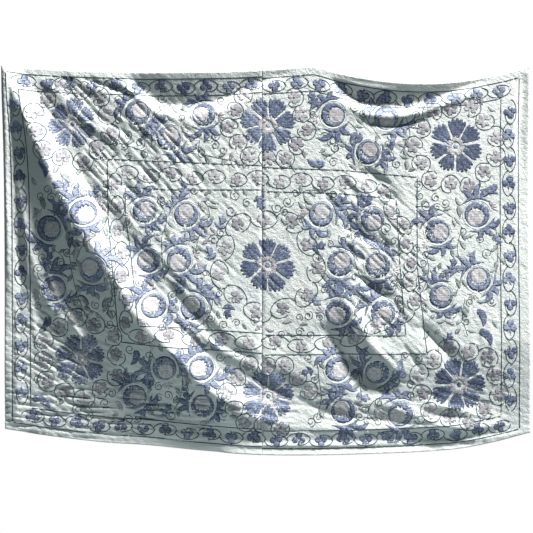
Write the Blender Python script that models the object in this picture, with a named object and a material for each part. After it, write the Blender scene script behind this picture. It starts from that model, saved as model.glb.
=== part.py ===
"""A large embroidered wall cloth of two sewn panels, as it hangs in swagged folds.

X runs to the right, Z up, and the worked face looks towards -Y. The origin is
the middle of the top edge. The tables are in centimetres, across from the
cloth's left edge and down from its highest point.
"""

from collections import namedtuple

import bmesh
import bpy
import numpy as np

CM = 0.01

# Driving sizes of the hung cloth
HUNG_WIDTH = 220.0
SEAM_ACROSS = 108.0
SEAM_GAP = 0.0003
THICKNESS = 0.002
ROWS = 52
COLUMN_WIDTH = 3.05

# Between its hanging points the top edge sags in a scoop
Scoop = namedtuple("Scoop", "start end sag")
TOP_SCOOPS = [
    Scoop(start=0.0, end=130.0, sag=2.5),
    Scoop(start=130.0, end=220.0, sag=7.0),
]

# The hem is lowest right of the middle and rises to both corners
HEM_DOWN = [(0, 152), (15, 154.5), (40, 157.5), (61, 158.8), (82, 160.8), (110, 162.3),
            (145, 162), (186, 160), (204, 157), (220, 153)]

# How far the side edges are drawn in half way down
SIDE_PULL = 0.8

# A row for each fold: the line of its crest, or of its bottom where rise is
# below zero, then its height and the widths of its upper right and lower left
# flanks, each spread evenly from the line's start to its end. A small edge is
# a sharp crest.
Fold = namedtuple("Fold", "name route rise upper lower edge")
FOLDS = [
    Fold("great diagonal",
         [(-12, -28), (2, 4), (11, 23), (22, 47), (30, 62), (44, 83), (58, 106), (73, 121), (85, 134),
          (98, 142), (112, 148), (134, 152)],
         (1, 4.5, 7, 8.5, 9, 8, 6, 4, 1.2), (5, 6, 8, 10, 11, 11, 9, 8, 6),
         (4, 8, 15, 21, 26, 24, 16, 10, 7), 0.4),
    Fold("second diagonal",
         [(26, 22), (36, 38), (44, 53), (52, 64), (60, 73), (70, 85), (81, 98), (92, 110),
          (107, 120), (122, 129), (140, 138)],
         (0.2, 0.6, 0.9, 1.1, 1.3, 1.4, 1.1, 0.3), (5, 8, 12, 16, 18, 14, 10, 8),
         (3, 3.6, 4, 4, 4.2, 4.4, 4, 3), 0.2),
    Fold("ridge between the diagonals",
         [(62, 92), (75, 107), (86, 115), (97, 121), (108, 127), (120, 134)],
         (0.3, 1.3, 1.4, 1.2, 0.3), (3, 4, 4, 4, 3), (3, 4, 4, 4, 3), 0.2),
    Fold("left scoop", [(50, 2), (58, 9.5), (66, 15), (80, 15.5), (92, 13), (104, 7.5), (124, 1)],
         (-1.4, -3.2, -3.9, -3.9, -3.6, -3, -1.8, -0.5), (8, 12, 14, 14, 14, 12, 8),
         (3, 4, 5, 5, 5, 4, 3), 0.25),
    Fold("right scoop",
         [(134, 2), (139, 7), (146, 13), (156, 16), (168, 16), (180, 13.5), (192, 9), (206, 3)],
         (-1.2, -3.4, -4.2, -4.2, -3.8, -2.6, -1), (6, 10, 12, 12, 11, 9, 6), (3, 3.6, 4, 4, 3.6, 3), 0.25),
    Fold("lip under the right scoop", [(140, 14), (148, 19), (158, 21), (171, 20), (185, 15), (200, 9)],
         (0.2, 1.3, 1.6, 1.3, 0.2), (3, 3.5, 3.5, 3.5, 3), (3, 3, 3, 3, 3), 0.2),
    Fold("fan, first", [(13, 3), (24, 14), (36, 24), (48, 32), (58, 42)],
         (0.3, 0.9, 1.1, 0.9, 0.3), (3, 4, 5, 5, 4), (2.5, 3, 3, 3, 2.5), 0.2),
    Fold("fan, second", [(22, 2), (36, 9), (50, 17), (60, 27), (70, 41)],
         (0.2, 0.6, 0.8, 0.7, 0.3), (3, 4, 5, 6, 4), (2.5, 3, 3, 3, 2.5), 0.2),
    Fold("fan, third", [(32, 2), (44, 6), (56, 12), (68, 21), (84, 25)],
         (0.2, 0.6, 0.7, 0.6, 0.3), (3, 4, 4, 4, 4), (2.5, 3, 3, 3, 2.5), 0.2),
    Fold("broad hollow, right of middle",
         [(132, 106), (137, 112), (142, 119), (148, 126), (155, 132), (164, 138)],
         (-1, -3.2, -4, -3.4, -0.8), (5, 6, 6, 6, 4), (9, 11, 11, 9, 6), 0.35),
    Fold("ridge by the hollow", [(138, 92), (144, 100), (149, 108), (155, 117), (162, 124), (170, 132)],
         (0.4, 1.8, 2.2, 1.4, 0.3), (3, 4.5, 5, 5, 4), (4, 6, 6, 5, 4), 0.4),
    Fold("upper right hollow", [(144, 40), (152, 46), (159, 51), (167, 57)],
         (-0.3, -0.9, -0.9, -0.3), (3, 4, 4, 3), (3, 4, 4, 3), 0.2),
    Fold("right hollow below it", [(141, 62), (149, 69), (158, 74), (167, 81)],
         (-0.3, -0.8, -0.8, -0.3), (3, 4, 4, 3), (3, 4, 4, 3), 0.2),
    Fold("right hollow, middle", [(146, 85), (153, 91), (161, 97), (168, 105)],
         (-0.3, -1.1, -1.1, -0.3), (3, 4, 4, 3), (3, 5, 5, 3), 0.2),
    Fold("lower right hollow", [(172, 106), (179, 114), (186, 121), (190, 130)],
         (-0.3, -1.4, -1.5, -0.3), (4, 5, 5, 4), (4, 5, 5, 4), 0.2),
    Fold("swag above the right hem", [(150, 137), (165, 143), (180, 148), (196, 150), (212, 148)],
         (0.3, 1.6, 2.2, 1.8, 0.4), (4, 5, 5, 5, 4), (5, 6, 7, 7, 6), 0.2),
    Fold("long swag over the border", [(122, 150.5), (140, 151.5), (160, 151.2), (180, 150.5), (200, 149)],
         (0.3, 1.3, 1.5, 1.2, 0.3), (3, 4, 4, 4, 3), (4, 5, 5, 5, 4), 0.2),
    Fold("short swag over it", [(171, 141), (182, 142.5), (195, 145), (208, 145)],
         (0.2, 1.2, 1.2, 0.2), (3, 4, 4, 3), (2.5, 3, 3, 2.5), 0.2),
    Fold("hem edge", [(84, 162.4), (115, 162.9), (145, 162.5), (175, 161.3), (198, 158.8), (219, 154.6)],
         (0.4, 1.3, 1.7, 1.7, 1.5, 0.9), (3, 3.2, 3.2, 3.2, 3, 2.6), (3, 3, 3, 3, 3), 0.2),
    Fold("left edge, upper", [(0.5, 0), (2, 40), (3, 80), (4, 118)],
         (1.5, 2.2, 1.8, 0.4), (4, 5, 5, 4), (4, 5, 5, 4), 0.2),
    Fold("upright fold by the left edge", [(6, 44), (8.5, 60), (11.5, 76), (15.5, 90), (21, 102), (29, 113)],
         (0.3, 1.6, 2.2, 2.3, 1.8, 0.4), (3, 3.6, 4, 4, 4, 3), (3, 4.5, 5, 5, 5, 3), 0.2),
    Fold("lower left crease", [(19, 94), (25, 103), (32, 112), (40, 120)],
         (0.3, 1.4, 1.4, 0.3), (3, 4, 4, 3), (3, 4, 4, 3), 0.2),
    Fold("left edge, lower", [(6, 110), (5, 125), (5, 140), (6, 152)],
         (0.2, 1.2, 1.4, 0.6), (4, 5, 5, 4), (6, 7, 7, 6), 0.2),
    Fold("slack of the lower left", [(-15, 158), (15, 159), (45, 161), (75, 163), (100, 165)],
         (-4.6, -5.2, -5.2, -4, -1), (44, 44, 38, 26, 12), (6, 6, 6, 6, 6), 0.3),
    Fold("slack of the right panel", [(112, 118), (140, 120), (170, 119), (200, 116), (245, 110)],
         (1, 3.5, 4.5, 4.5, 4), (40, 55, 65, 70, 70), (20, 26, 30, 32, 32), 0.4),
    Fold("upright fold by the right edge", [(217.5, 2), (217, 16), (216, 30), (216, 48)],
         (-0.8, -1.4, -1.2, -0.2), (2.5, 3, 3, 2.5), (2.5, 3, 3, 2.5), 0.2),
]
ROUTE_STEPS = 30
FADED_END = 0.12

Colour = namedtuple("Colour", "red green blue")
GROUND = Colour(0.50, 0.57, 0.50)
GROUND_SHADED = Colour(0.47, 0.55, 0.49)
CLOTH_ROUGHNESS = 0.85


def smooth_line(points, where):
    """Reads a smooth curve through (x, y) points at the places in where."""
    x, y = np.array(points, float).T
    gaps = np.diff(x)
    slope = np.empty_like(y)
    slope[1:-1] = (y[2:] - y[:-2]) / (x[2:] - x[:-2])
    slope[0] = (y[1] - y[0]) / gaps[0]
    slope[-1] = (y[-1] - y[-2]) / gaps[-1]
    k = np.clip(np.searchsorted(x, where, side="right") - 1, 0, len(gaps) - 1)
    s = (where - x[k]) / gaps[k]
    return ((1 + 2 * s) * (1 - s) ** 2 * y[k] + s * (1 - s) ** 2 * gaps[k] * slope[k]
            + s * s * (3 - 2 * s) * y[k + 1] + s * s * (s - 1) * gaps[k] * slope[k + 1])


def fold_line(route):
    """Evenly spaced points on the smooth curve through a fold's route."""
    route = np.array(route, float)
    lengths = np.hypot(*np.diff(route, axis=0).T)
    along = np.concatenate([[0.0], np.cumsum(lengths)])
    where = np.linspace(0.0, along[-1], ROUTE_STEPS)
    return np.column_stack([smooth_line(np.column_stack([along, axis]), where) for axis in route.T])


def spread(values, share):
    """Reads a row of values, evenly spaced from 0 to 1, at share."""
    return np.interp(share, np.linspace(0.0, 1.0, len(values)), values)


def flank(distance, width, edge):
    """1 at the crest and 0 past the flank's width, with soft corners."""
    s = distance / width
    return 0.5 * (1.0 + np.sqrt((s - 1.0) ** 2 + edge ** 2) - np.sqrt(s ** 2 + edge ** 2))


def fold_forward(fold, across, down):
    """How far one fold brings each point of the cloth forward."""
    line = fold_line(fold.route)
    nearest = np.full(across.shape, np.inf)
    side = np.zeros(across.shape)
    share = np.zeros(across.shape)
    for step, (start, end) in enumerate(zip(line[:-1], line[1:])):
        run_across, run_down = end - start
        length_squared = run_across ** 2 + run_down ** 2
        part = ((across - start[0]) * run_across + (down - start[1]) * run_down) / length_squared
        part = np.clip(part, 0.0, 1.0)
        off_across = across - start[0] - part * run_across
        off_down = down - start[1] - part * run_down
        distance = np.hypot(off_across, off_down)
        closer = distance < nearest
        nearest = np.where(closer, distance, nearest)
        side = np.where(closer, run_down * off_across - run_across * off_down, side)
        share = np.where(closer, (step + part) / (ROUTE_STEPS - 1), share)
    width = np.where(side > 0.0, spread(fold.upper, share), spread(fold.lower, share))
    end_share = np.clip(np.minimum(share, 1.0 - share) / FADED_END, 0.0, 1.0)
    fade = end_share ** 2 * (3.0 - 2.0 * end_share)
    return spread(fold.rise, share) * flank(nearest, width, fold.edge) * fade


def top_edge(across):
    """The top edge's depth below the hanging points."""
    down = np.zeros(across.shape)
    for scoop in TOP_SCOOPS:
        share = (across - scoop.start) / (scoop.end - scoop.start)
        down += np.where((share > 0.0) & (share < 1.0), 4.0 * scoop.sag * share * (1.0 - share), 0.0)
    return down


def hung_place(flat_across, drop):
    """Where a point of the cloth hangs: drop is 0 at the top edge and 1 at the hem."""
    top = top_edge(flat_across)
    down = top + drop * (smooth_line(HEM_DOWN, flat_across) - top)
    off_middle = 2.0 * flat_across / HUNG_WIDTH - 1.0
    across = flat_across - SIDE_PULL * off_middle * np.sin(np.pi * drop)
    forward = sum(fold_forward(fold, across, down) for fold in FOLDS)
    middle = np.array([HUNG_WIDTH / 2.0])
    x = (across - HUNG_WIDTH / 2.0) * CM
    y = -forward * CM
    z = (top_edge(middle)[0] - down) * CM
    return np.column_stack([x, y, z])


def cloth_material(name, colour):
    material = bpy.data.materials.new(name)
    material.use_nodes = True
    shader = material.node_tree.nodes["Principled BSDF"]
    shader.inputs["Base Color"].default_value = (*colour, 1.0)
    shader.inputs["Roughness"].default_value = CLOTH_ROUGHNESS
    shader.inputs["Metallic"].default_value = 0.0
    return material


def hung_panel(name, left, right, seam_side, colour, collection):
    """One sewn panel: a grid hung into its folds, then given the cloth's thickness."""
    columns = round((right - left) / COLUMN_WIDTH)
    bpy.ops.mesh.primitive_grid_add(x_subdivisions=columns, y_subdivisions=ROWS, size=1.0,
                                    location=(0, 0, 0))
    panel = bpy.context.object
    panel.name = name
    mesh = panel.data
    mesh.name = name
    flat = np.array([vertex.co[:2] for vertex in mesh.vertices])
    flat_across = left + (flat[:, 0] + 0.5) * (right - left)
    hung = hung_place(flat_across, 0.5 - flat[:, 1])
    seam = np.isclose(flat[:, 0], 0.5 * seam_side)
    seam_x = (SEAM_ACROSS - HUNG_WIDTH / 2.0) * CM
    hung[seam, 0] = seam_x - seam_side * SEAM_GAP / 2.0
    for vertex, place in zip(mesh.vertices, hung):
        vertex.co = place

    shell = bmesh.new()
    shell.from_mesh(mesh)
    bmesh.ops.triangulate(shell, faces=shell.faces[:], quad_method="ALTERNATE")
    grown = bmesh.ops.extrude_face_region(shell, geom=shell.faces[:])
    back = [item for item in grown["geom"] if isinstance(item, bmesh.types.BMVert)]
    bmesh.ops.translate(shell, verts=back, vec=(0.0, THICKNESS, 0.0))
    bmesh.ops.recalc_face_normals(shell, faces=shell.faces[:])
    shell.to_mesh(mesh)
    shell.free()

    mesh.shade_smooth()
    mesh.set_sharp_from_angle(angle=0.9)
    mesh.materials.append(cloth_material(name + "_cloth", colour))
    for owner in panel.users_collection:
        owner.objects.unlink(panel)
    collection.objects.link(panel)


def main():
    for item in list(bpy.data.objects):
        bpy.data.objects.remove(item)
    collection = bpy.data.collections.new("embroidered_wall_cloth")
    bpy.context.scene.collection.children.link(collection)
    hung_panel("panel_left", 0.0, SEAM_ACROSS, 1, GROUND_SHADED, collection)
    hung_panel("panel_right", SEAM_ACROSS, HUNG_WIDTH, -1, GROUND, collection)


main()
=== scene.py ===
"""The looks of a large suzani wall textile: two sewn cotton panels in swagged
folds, worked all over with raised silk-like embroidery.

The pattern is laid out flat in centimetres, across from the left edge and down
from the highest point, and is then hung on the same folds as the cloth.
"""

import math
import random
from collections import namedtuple

import bmesh
import bpy
import numpy as np
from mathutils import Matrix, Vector


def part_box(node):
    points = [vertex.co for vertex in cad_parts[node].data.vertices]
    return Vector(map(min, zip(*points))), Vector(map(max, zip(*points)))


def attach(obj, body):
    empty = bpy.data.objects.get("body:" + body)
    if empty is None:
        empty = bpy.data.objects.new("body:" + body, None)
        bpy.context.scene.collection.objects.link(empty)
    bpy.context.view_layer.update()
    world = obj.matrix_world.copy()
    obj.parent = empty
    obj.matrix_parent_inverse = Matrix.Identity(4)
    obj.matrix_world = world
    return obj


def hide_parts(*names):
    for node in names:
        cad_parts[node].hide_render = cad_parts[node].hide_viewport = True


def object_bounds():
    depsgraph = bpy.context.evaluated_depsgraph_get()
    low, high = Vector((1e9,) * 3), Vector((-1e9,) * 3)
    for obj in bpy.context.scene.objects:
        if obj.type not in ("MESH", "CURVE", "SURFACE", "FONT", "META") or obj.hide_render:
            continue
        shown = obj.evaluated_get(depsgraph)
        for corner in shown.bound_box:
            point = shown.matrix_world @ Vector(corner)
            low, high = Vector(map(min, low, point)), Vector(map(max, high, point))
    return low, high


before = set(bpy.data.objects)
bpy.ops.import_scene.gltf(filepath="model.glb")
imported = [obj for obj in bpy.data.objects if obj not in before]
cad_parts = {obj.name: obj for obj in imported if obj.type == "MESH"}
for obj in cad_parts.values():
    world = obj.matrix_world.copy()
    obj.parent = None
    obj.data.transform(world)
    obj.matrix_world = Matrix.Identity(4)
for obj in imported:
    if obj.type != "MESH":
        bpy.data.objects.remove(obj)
CAD_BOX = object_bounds()

CM = 0.01
MM = 0.001

# The panels' places, read from the frame
LEFT_EDGE = CAD_BOX[0].x
HUNG_WIDTH = (CAD_BOX[1].x - CAD_BOX[0].x) / CM
TOP_POINT = CAD_BOX[1].z
SEAM_ACROSS = (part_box("panel_right")[0].x - LEFT_EDGE) / CM

# The cloth's grid cell and mean length in centimetres, and its thickness in metres
CELL = 0.64
MEAN_LENGTH = 160.0
CLOTH_THICKNESS = 0.0008

# How far the side edges are drawn in half way down
SIDE_PULL = 0.8

# Between its hanging points the top edge sags in a scoop
Scoop = namedtuple("Scoop", "start end sag")
TOP_SCOOPS = [
    Scoop(start=0.0, end=130.0, sag=2.5),
    Scoop(start=130.0, end=220.0, sag=7.0),
]
# The hem is lowest near the middle and rises to both corners
HEM_DOWN = [(0, 152), (15, 154.5), (40, 157.5), (61, 158.8), (82, 160.8), (110, 162.3),
            (145, 162), (186, 160), (204, 157), (220, 153)]

# A row for each fold: the line of its crest, or of its bottom where rise is
# below zero, then its height and the widths of its upper right and lower left
# flanks, each spread evenly from the line's start to its end. A small edge is
# a sharp crest.
Fold = namedtuple("Fold", "name route rise upper lower edge")
FOLDS = [
    Fold("great diagonal",
         [(-12, -28), (2, 4), (11, 23), (22, 47), (30, 62), (44, 83), (58, 106), (73, 121), (85, 134),
          (98, 142), (112, 148), (134, 152)],
         (1, 4.5, 7, 8.5, 9, 8, 6, 4, 1.2), (5, 6, 8, 10, 11, 11, 9, 8, 6),
         (4, 8, 15, 21, 26, 24, 16, 10, 7), 0.1),
    Fold("second diagonal",
         [(26, 22), (36, 38), (44, 53), (52, 64), (60, 73), (70, 85), (81, 98), (92, 110),
          (107, 120), (122, 129), (140, 138)],
         (0.2, 0.6, 0.9, 1.1, 1.3, 1.4, 1.1, 0.3), (5, 8, 12, 16, 18, 14, 10, 8),
         (3, 3.6, 4, 4, 4.2, 4.4, 4, 3), 0.2),
    Fold("ridge between the diagonals",
         [(62, 92), (75, 107), (86, 115), (97, 121), (108, 127), (120, 134)],
         (0.3, 1.3, 1.4, 1.2, 0.3), (3, 4, 4, 4, 3), (3, 4, 4, 4, 3), 0.2),
    Fold("left scoop", [(50, 2), (58, 9.5), (66, 15), (80, 15.5), (92, 13), (104, 7.5), (124, 1)],
         (-1.4, -3.2, -3.9, -3.9, -3.6, -3, -1.8, -0.5), (8, 12, 14, 14, 14, 12, 8),
         (3, 4, 5, 5, 5, 4, 3), 0.08),
    Fold("right scoop",
         [(134, 2), (139, 7), (146, 13), (156, 16), (168, 16), (180, 13.5), (192, 9), (206, 3)],
         (-1.2, -3.4, -4.2, -4.2, -3.8, -2.6, -1), (6, 10, 12, 12, 11, 9, 6), (3, 3.6, 4, 4, 3.6, 3), 0.08),
    Fold("lip under the right scoop", [(140, 14), (148, 19), (158, 21), (171, 20), (185, 15), (200, 9)],
         (0.2, 1.3, 1.6, 1.3, 0.2), (3, 3.5, 3.5, 3.5, 3), (3, 3, 3, 3, 3), 0.2),
    Fold("fan, first", [(13, 3), (24, 14), (36, 24), (48, 32), (58, 42)],
         (0.3, 0.9, 1.1, 0.9, 0.3), (3, 4, 5, 5, 4), (2.5, 3, 3, 3, 2.5), 0.2),
    Fold("fan, second", [(22, 2), (36, 9), (50, 17), (60, 27), (70, 41)],
         (0.2, 0.6, 0.8, 0.7, 0.3), (3, 4, 5, 6, 4), (2.5, 3, 3, 3, 2.5), 0.2),
    Fold("fan, third", [(32, 2), (44, 6), (56, 12), (68, 21), (84, 25)],
         (0.2, 0.6, 0.7, 0.6, 0.3), (3, 4, 4, 4, 4), (2.5, 3, 3, 3, 2.5), 0.2),
    Fold("broad hollow, right of middle",
         [(132, 106), (137, 112), (142, 119), (148, 126), (155, 132), (164, 138)],
         (-1, -3.2, -4, -3.4, -0.8), (5, 6, 6, 6, 4), (9, 11, 11, 9, 6), 0.15),
    Fold("ridge by the hollow", [(138, 92), (144, 100), (149, 108), (155, 117), (162, 124), (170, 132)],
         (0.4, 1.8, 2.2, 1.4, 0.3), (3, 4.5, 5, 5, 4), (4, 6, 6, 5, 4), 0.15),
    Fold("upper right hollow", [(144, 40), (152, 46), (159, 51), (167, 57)],
         (-0.3, -0.9, -0.9, -0.3), (3, 4, 4, 3), (3, 4, 4, 3), 0.2),
    Fold("right hollow below it", [(141, 62), (149, 69), (158, 74), (167, 81)],
         (-0.3, -0.8, -0.8, -0.3), (3, 4, 4, 3), (3, 4, 4, 3), 0.2),
    Fold("right hollow, middle", [(146, 85), (153, 91), (161, 97), (168, 105)],
         (-0.3, -1.1, -1.1, -0.3), (3, 4, 4, 3), (3, 5, 5, 3), 0.2),
    Fold("lower right hollow", [(172, 106), (179, 114), (186, 121), (190, 130)],
         (-0.3, -1.4, -1.5, -0.3), (4, 5, 5, 4), (4, 5, 5, 4), 0.2),
    Fold("swag above the right hem", [(150, 137), (165, 143), (180, 148), (196, 150), (212, 148)],
         (0.3, 1.6, 2.2, 1.8, 0.4), (4, 5, 5, 5, 4), (5, 6, 7, 7, 6), 0.2),
    Fold("long swag over the border", [(122, 150.5), (140, 151.5), (160, 151.2), (180, 150.5), (200, 149)],
         (0.3, 1.3, 1.5, 1.2, 0.3), (3, 4, 4, 4, 3), (4, 5, 5, 5, 4), 0.2),
    Fold("short swag over it", [(171, 141), (182, 142.5), (195, 145), (208, 145)],
         (0.2, 1.2, 1.2, 0.2), (3, 4, 4, 3), (2.5, 3, 3, 2.5), 0.2),
    Fold("hem edge", [(84, 162.4), (115, 162.9), (145, 162.5), (175, 161.3), (198, 158.8), (219, 154.6)],
         (0.4, 1.3, 1.7, 1.7, 1.5, 0.9), (3, 3.2, 3.2, 3.2, 3, 2.6), (3, 3, 3, 3, 3), 0.2),
    Fold("left edge, upper", [(0.5, 0), (2, 40), (3, 80), (4, 118)],
         (1.5, 2.2, 1.8, 0.4), (4, 5, 5, 4), (4, 5, 5, 4), 0.2),
    Fold("upright fold by the left edge", [(6, 44), (8.5, 60), (11.5, 76), (15.5, 90), (21, 102), (29, 113)],
         (0.3, 1.6, 2.2, 2.3, 1.8, 0.4), (3, 3.6, 4, 4, 4, 3), (3, 4.5, 5, 5, 5, 3), 0.2),
    Fold("lower left crease", [(19, 94), (25, 103), (32, 112), (40, 120)],
         (0.3, 1.4, 1.4, 0.3), (3, 4, 4, 3), (3, 4, 4, 3), 0.2),
    Fold("left edge, lower", [(6, 110), (5, 125), (5, 140), (6, 152)],
         (0.2, 1.2, 1.4, 0.6), (4, 5, 5, 4), (6, 7, 7, 6), 0.2),
    Fold("slack of the lower left", [(-15, 158), (15, 159), (45, 161), (75, 163), (100, 165)],
         (-4.6, -5.2, -5.2, -4, -1), (44, 44, 38, 26, 12), (6, 6, 6, 6, 6), 0.3),
    Fold("slack of the right panel", [(112, 118), (140, 120), (170, 119), (200, 116), (245, 110)],
         (1, 3.5, 4.5, 4.5, 4), (40, 55, 65, 70, 70), (20, 26, 30, 32, 32), 0.4),
    Fold("upright fold by the right edge", [(217.5, 2), (217, 16), (216, 30), (216, 48)],
         (-0.8, -1.4, -1.2, -0.2), (2.5, 3, 3, 2.5), (2.5, 3, 3, 2.5), 0.2),
]
ROUTE_STEPS = 40
FADED_END = 0.12

# Fine creases, a row for each: a soft ridge, or a trough where rise is below zero
Crease = namedtuple("Crease", "start bend end rise width")
CREASES = [Crease(*row) for row in (
    ((15, 5), (22, 10), (30, 16), 0.5, 1.6), ((23, 4), (30, 7), (38, 14), -0.6, 1.6),
    ((27, 4), (42, 8), (57, 15), -0.5, 1.4), ((41, 7), (49, 10), (55, 13), -0.5, 1.4),
    ((32, 12), (40, 21), (54, 30), -0.5, 1.4), ((38, 12), (50, 22), (63, 29), 0.5, 1.7),
    ((47, 29), (52, 37), (57, 42), -0.6, 1.5), ((56, 40), (61, 46), (66, 52), -0.9, 1.7),
    ((50, 48), (54, 52), (59, 56), -0.8, 1.7), ((41, 44), (48, 49), (54, 54), -0.6, 1.6),
    ((70, 40), (72, 44), (75, 48), -0.6, 1.5), ((64, 36), (70, 43), (77, 50), 0.4, 1.6),
    ((76, 38), (80, 44), (86, 52), -0.5, 1.6), ((30, 40), (36, 50), (42, 62), -0.6, 1.7),
    ((41, 62), (46, 70), (51, 76), -0.4, 1.6), ((68, 90), (76, 100), (84, 108), -0.6, 1.6),
    ((84, 112), (94, 118), (106, 123), -0.8, 1.8), ((66, 82), (72, 88), (80, 96), -0.6, 1.6),
    ((50, 88), (60, 100), (72, 112), 0.3, 2.4), ((101, 127), (110, 133), (121, 140), -1.2, 2.4),
    ((121, 138), (135, 144), (150, 148), -0.9, 2.4), ((92, 141), (104, 144), (118, 147), -0.9, 1.8),
    ((100, 139), (112, 142), (126, 144), 0.6, 1.6), ((151, 42), (156, 46), (163, 50), -0.8, 1.5),
    ((153, 50), (158, 54), (165, 56), -0.8, 1.4), ((141, 46), (145, 51), (149, 56), -0.7, 1.5),
    ((134, 52), (137, 57), (140, 60), -0.5, 1.4), ((141, 67), (149, 71), (162, 76), -0.8, 1.5),
    ((143, 74), (147, 79), (153, 82), -0.7, 1.5), ((148, 87), (154, 93), (162, 98), -0.9, 1.6),
    ((150, 100), (155, 107), (160, 114), 0.8, 1.7), ((162, 98), (167, 105), (172, 112), -0.7, 1.6),
    ((174, 108), (180, 114), (186, 120), -1, 1.9), ((166, 116), (171, 122), (176, 130), -0.7, 1.7),
    ((152, 110), (158, 118), (165, 126), -0.6, 1.6), ((172, 140), (183, 142), (194, 143), 0.6, 1.3),
    ((174, 144), (184, 146), (194, 147), -0.8, 1.5), ((170, 147), (190, 151), (211, 149), 0.6, 1.4),
    ((184, 98), (190, 104), (196, 112), -0.4, 1.6), ((196, 104), (198, 116), (199, 130), -0.4, 1.4),
    ((203, 108), (204, 122), (205, 138), 0.4, 1.4), ((12, 134), (26, 133), (40, 131), 0.4, 1.6),
    ((14, 128), (22, 124), (30, 119), -0.4, 1.5), ((48, 126), (56, 129), (66, 134), -0.6, 1.5),
    ((52, 134), (62, 138), (72, 142), -0.6, 1.5), ((50, 141), (60, 143), (72, 146), 0.5, 1.5),
    ((20, 146), (36, 147), (56, 149), -0.5, 1.5), ((60, 153), (80, 155), (104, 157), 0.5, 1.4),
    # The ridge above the hem, and the fine folds that run along with it
    ((92, 158.2), (140, 158.2), (176, 157.2), 1.1, 1.5),
    ((168, 157.4), (198, 155.8), (219, 152.4), 0.9, 1.4),
    ((20, 157), (50, 158.6), (88, 160.4), 0.5, 1.2), ((150, 147), (172, 149), (196, 148.6), -0.5, 1.2),
    ((40, 154), (54, 155), (70, 156), -0.5, 1.4), ((1.4, 1), (1.6, 40), (2.6, 90), 0.9, 1.1),
    ((3.2, 1), (4.5, 30), (6, 64), -0.9, 1.1), ((4, 90), (4.2, 120), (4, 150), -0.5, 1.2),
    ((9, 60), (10, 80), (12, 104), 0.5, 1.2), ((17, 78), (21, 92), (27, 104), 0.9, 1.5),
    ((24, 96), (30, 108), (36, 118), 0.9, 1.5), ((6.5, 60), (7, 90), (6.5, 118), -0.5, 1.2),
    ((12, 96), (13, 108), (15, 122), 0.5, 1.4), ((213, 4), (213, 40), (214, 90), 0.4, 1.5),
    ((98, 12), (106, 10), (116, 5), 0.5, 1.6), ((150, 24), (165, 25), (178, 22), -0.8, 1.6),
    ((150, 30), (160, 32), (170, 30), 0.4, 1.5), ((136, 4), (150, 8), (166, 10), 0.5, 1.5),
    # The seam draws the cloth in
    ((108.2, 3), (108.1, 80), (108.2, 160), -0.6, 1),
    # Where the cloth was folded away
    ((4, 55.4), (60, 55.4), (107, 55.4), -0.16, 0.9),
    ((112, 108.8), (150, 108.8), (200, 108.8), -0.14, 0.9),
    ((190.8, 12), (190.8, 70), (190.8, 130), -0.14, 0.9),
)]

# The wrinkles all over, each a band of soft noise: its size across the
# wrinkle and along it, its slant below the level, its height and where it lies
Wrinkle = namedtuple("Wrinkle", "across along slant rise middle reach")
WRINKLES = [
    Wrinkle(across=2.6, along=15.0, slant=48.0, rise=0.24, middle=(50, 34), reach=(55, 38)),
    Wrinkle(across=3.2, along=14.0, slant=45.0, rise=0.18, middle=(60, 95), reach=(60, 45)),
    Wrinkle(across=2.3, along=8.0, slant=46.0, rise=0.2, middle=(158, 90), reach=(30, 56)),
    Wrinkle(across=2.6, along=9.0, slant=30.0, rise=0.42, middle=(27, 120), reach=(24, 22)),
    Wrinkle(across=2.6, along=13.0, slant=5.0, rise=0.42, middle=(40, 145), reach=(70, 13)),
    Wrinkle(across=2.8, along=13.0, slant=16.0, rise=0.16, middle=(180, 142), reach=(50, 20)),
    Wrinkle(across=2.4, along=8.0, slant=85.0, rise=0.08, middle=(115, 50), reach=(30, 16)),
    Wrinkle(across=2.2, along=10.0, slant=84.0, rise=0.09, middle=(205, 90), reach=(16, 60)),
    Wrinkle(across=2.2, along=6.0, slant=40.0, rise=0.07, middle=(110, 80), reach=(400, 400)),
    Wrinkle(across=2.0, along=12.0, slant=86.0, rise=0.12, middle=(4, 80), reach=(6, 70)),
]
# Places that are drawn smooth, so that no wrinkle crosses them: 1 is fully smooth
CALM = [
    Fold("under the great diagonal", [(3, 6), (11, 32), (18, 52), (28, 72), (44, 94), (60, 112), (78, 130)],
         (0.9, 1, 1, 1, 0.9, 0.7), (4, 9, 14, 16, 14, 8, 5), (3, 8, 14, 14, 10, 8, 5), 0.25),
    Fold("over the right scoop", [(136, 0), (150, 6), (168, 8), (186, 6), (204, 0)],
         (0.8, 0.9, 0.9, 0.8), (6, 8, 8, 6), (5, 8, 8, 5), 0.25),
    Fold("over the left scoop", [(52, 0), (64, 5), (80, 7), (96, 5), (116, 0)],
         (0.8, 0.9, 0.9, 0.8), (6, 8, 8, 6), (5, 8, 8, 5), 0.25),
]
# The map of the cloth's height: its step, its margin and the lowest place on it
MAP_STEP = 0.4
MAP_MARGIN = 4.0
MAP_BOTTOM = 163.0
SOFTENING_PASSES = 4


def smooth_line(points, where):
    """Reads a smooth curve through (x, y) points at the places in where."""
    x, y = np.array(points, float).T
    gaps = np.diff(x)
    slope = np.empty_like(y)
    slope[1:-1] = (y[2:] - y[:-2]) / (x[2:] - x[:-2])
    slope[0] = (y[1] - y[0]) / gaps[0]
    slope[-1] = (y[-1] - y[-2]) / gaps[-1]
    k = np.clip(np.searchsorted(x, where, side="right") - 1, 0, len(gaps) - 1)
    s = (where - x[k]) / gaps[k]
    return ((1 + 2 * s) * (1 - s) ** 2 * y[k] + s * (1 - s) ** 2 * gaps[k] * slope[k]
            + s * s * (3 - 2 * s) * y[k + 1] + s * s * (s - 1) * gaps[k] * slope[k + 1])


def distances(line):
    """How far along a line of points each of them lies."""
    return np.concatenate([[0.0], np.cumsum(np.hypot(*np.diff(line, axis=0).T))])


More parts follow.
